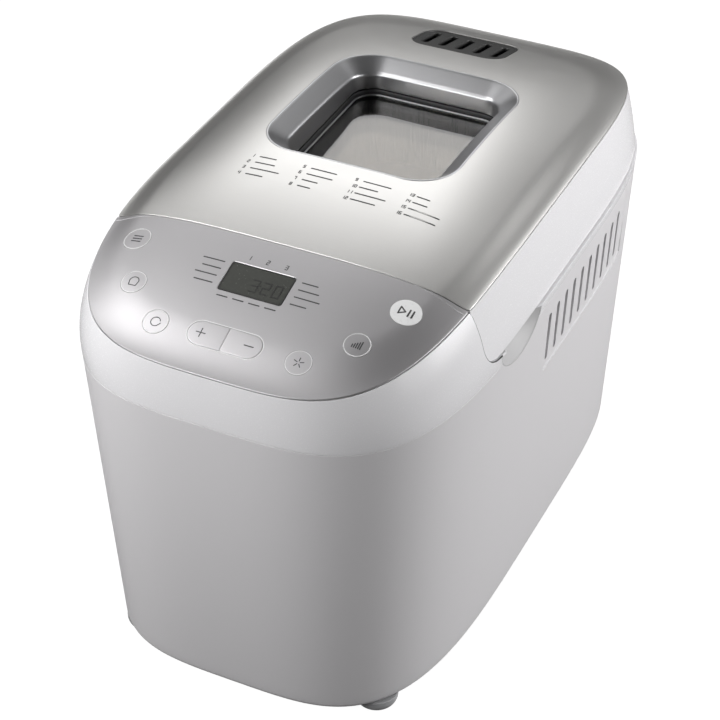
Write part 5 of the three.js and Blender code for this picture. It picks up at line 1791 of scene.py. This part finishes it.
# Softboxes: azimuth from +X towards +Y and elevation in degrees, distance and side in metres, power in watts.
LIGHTS = {
    "high_left": (180, 60, 1.9, 0.8, 1.4),
    "high_left_front": (225, 60, 1.9, 0.8, 1.8),
    "back": (90, 33, 1.9, 0.8, 1.1),
    "back_left": (115, 33, 1.9, 0.8, 3.7),
    "left_back": (140, 33, 1.9, 0.8, 1.1),
    "left": (165, 33, 1.9, 0.8, 1.6),
    "back_right": (60, 33, 1.9, 0.8, 0.6),
    "raised_back": (95, 48, 1.9, 0.6, 1.3),
    "raised_back_left": (120, 48, 1.9, 1.1, 4.6),
    "raised_back_right": (70, 48, 1.9, 0.6, 0.7),
    "low_right": (0, 8, 1.9, 0.9, 5.3),
    "low_right_back": (25, 8, 1.9, 0.9, 17.8),
    "low_back_right": (50, 8, 1.9, 0.9, 2.3),
    "near_left_front": (210, 48, 1.0, 0.4, 3.6),
    "near_right": (0, 22, 0.9, 0.4, 0.6),
    "near_right_back": (30, 22, 0.9, 0.4, 1.9),
    "near_front_left": (250, 22, 0.9, 0.4, 4.1),
}
AIM = Vector((0, 0, 0.18))
WORLD_LEVEL = 0.01


def lights():
    for name, (azimuth, elevation, distance, side, power) in LIGHTS.items():
        turn, rise = math.radians(azimuth), math.radians(elevation)
        direction = Vector((math.cos(turn) * math.cos(rise), math.sin(turn) * math.cos(rise), math.sin(rise)))
        data = bpy.data.lights.new(name, "AREA")
        data.shape = "SQUARE"
        data.size = side
        data.energy = power
        lamp = bpy.data.objects.new(name, data)
        lamp.location = AIM + direction * distance
        lamp.rotation_euler = (-direction).to_track_quat("-Z", "Y").to_euler()
        bpy.context.scene.collection.objects.link(lamp)
    world = bpy.data.worlds.new("studio")
    bpy.context.scene.world = world
    world.use_nodes = True
    world.node_tree.nodes["Background"].inputs["Color"].default_value = (1, 1, 1, 1)
    world.node_tree.nodes["Background"].inputs["Strength"].default_value = WORLD_LEVEL


FLOOR_GLOW = 0.97
FLOOR_TONE = 0.12


def seen_by_camera(tree, others, camera):
    """A shader that the camera sees differently from the light that bounces round the studio."""
    path = tree.nodes.new("ShaderNodeLightPath")
    mix = tree.nodes.new("ShaderNodeMixShader")
    tree.links.new(path.outputs["Is Camera Ray"], mix.inputs["Fac"])
    tree.links.new(others, mix.inputs[1])
    tree.links.new(camera, mix.inputs[2])
    return mix.outputs[0]


def floor():
    size = 6000
    corners = [(x * size, y * size, -0.2) for x, y in ((-1, -1), (1, -1), (1, 1), (-1, 1))]
    ground = new_object("floor", corners, [(0, 1, 2, 3)])
    material = finish("floor", (FLOOR_TONE,) * 3, 0.9, tone=0.01, bump=0.0, specular=0.0)
    tree = material.node_tree
    glow = tree.nodes.new("ShaderNodeEmission")
    glow.inputs["Strength"].default_value = FLOOR_GLOW
    lit = tree.nodes.new("ShaderNodeAddShader")
    shader = tree.nodes["Principled BSDF"].outputs[0]
    tree.links.new(glow.outputs[0], lit.inputs[0])
    tree.links.new(shader, lit.inputs[1])
    output = tree.nodes["Material Output"]
    tree.links.new(seen_by_camera(tree, shader, lit.outputs[0]), output.inputs["Surface"])
    ground.data.materials.append(material)


bpy.context.scene.view_settings.view_transform = "Standard"
camera()
lights()
floor()
dress_remaining_nodes()
body()
control_housing()
lid_panel()
control_panel()
buttons()
display()
screen_marks()
programme_table()
lid_frame()
window()
steam_grille()
lid_lining()
chamber()
bread_pan()
pan_handle()
paddles()
heater()
feet()
cable_inlet()
hinge_pins()
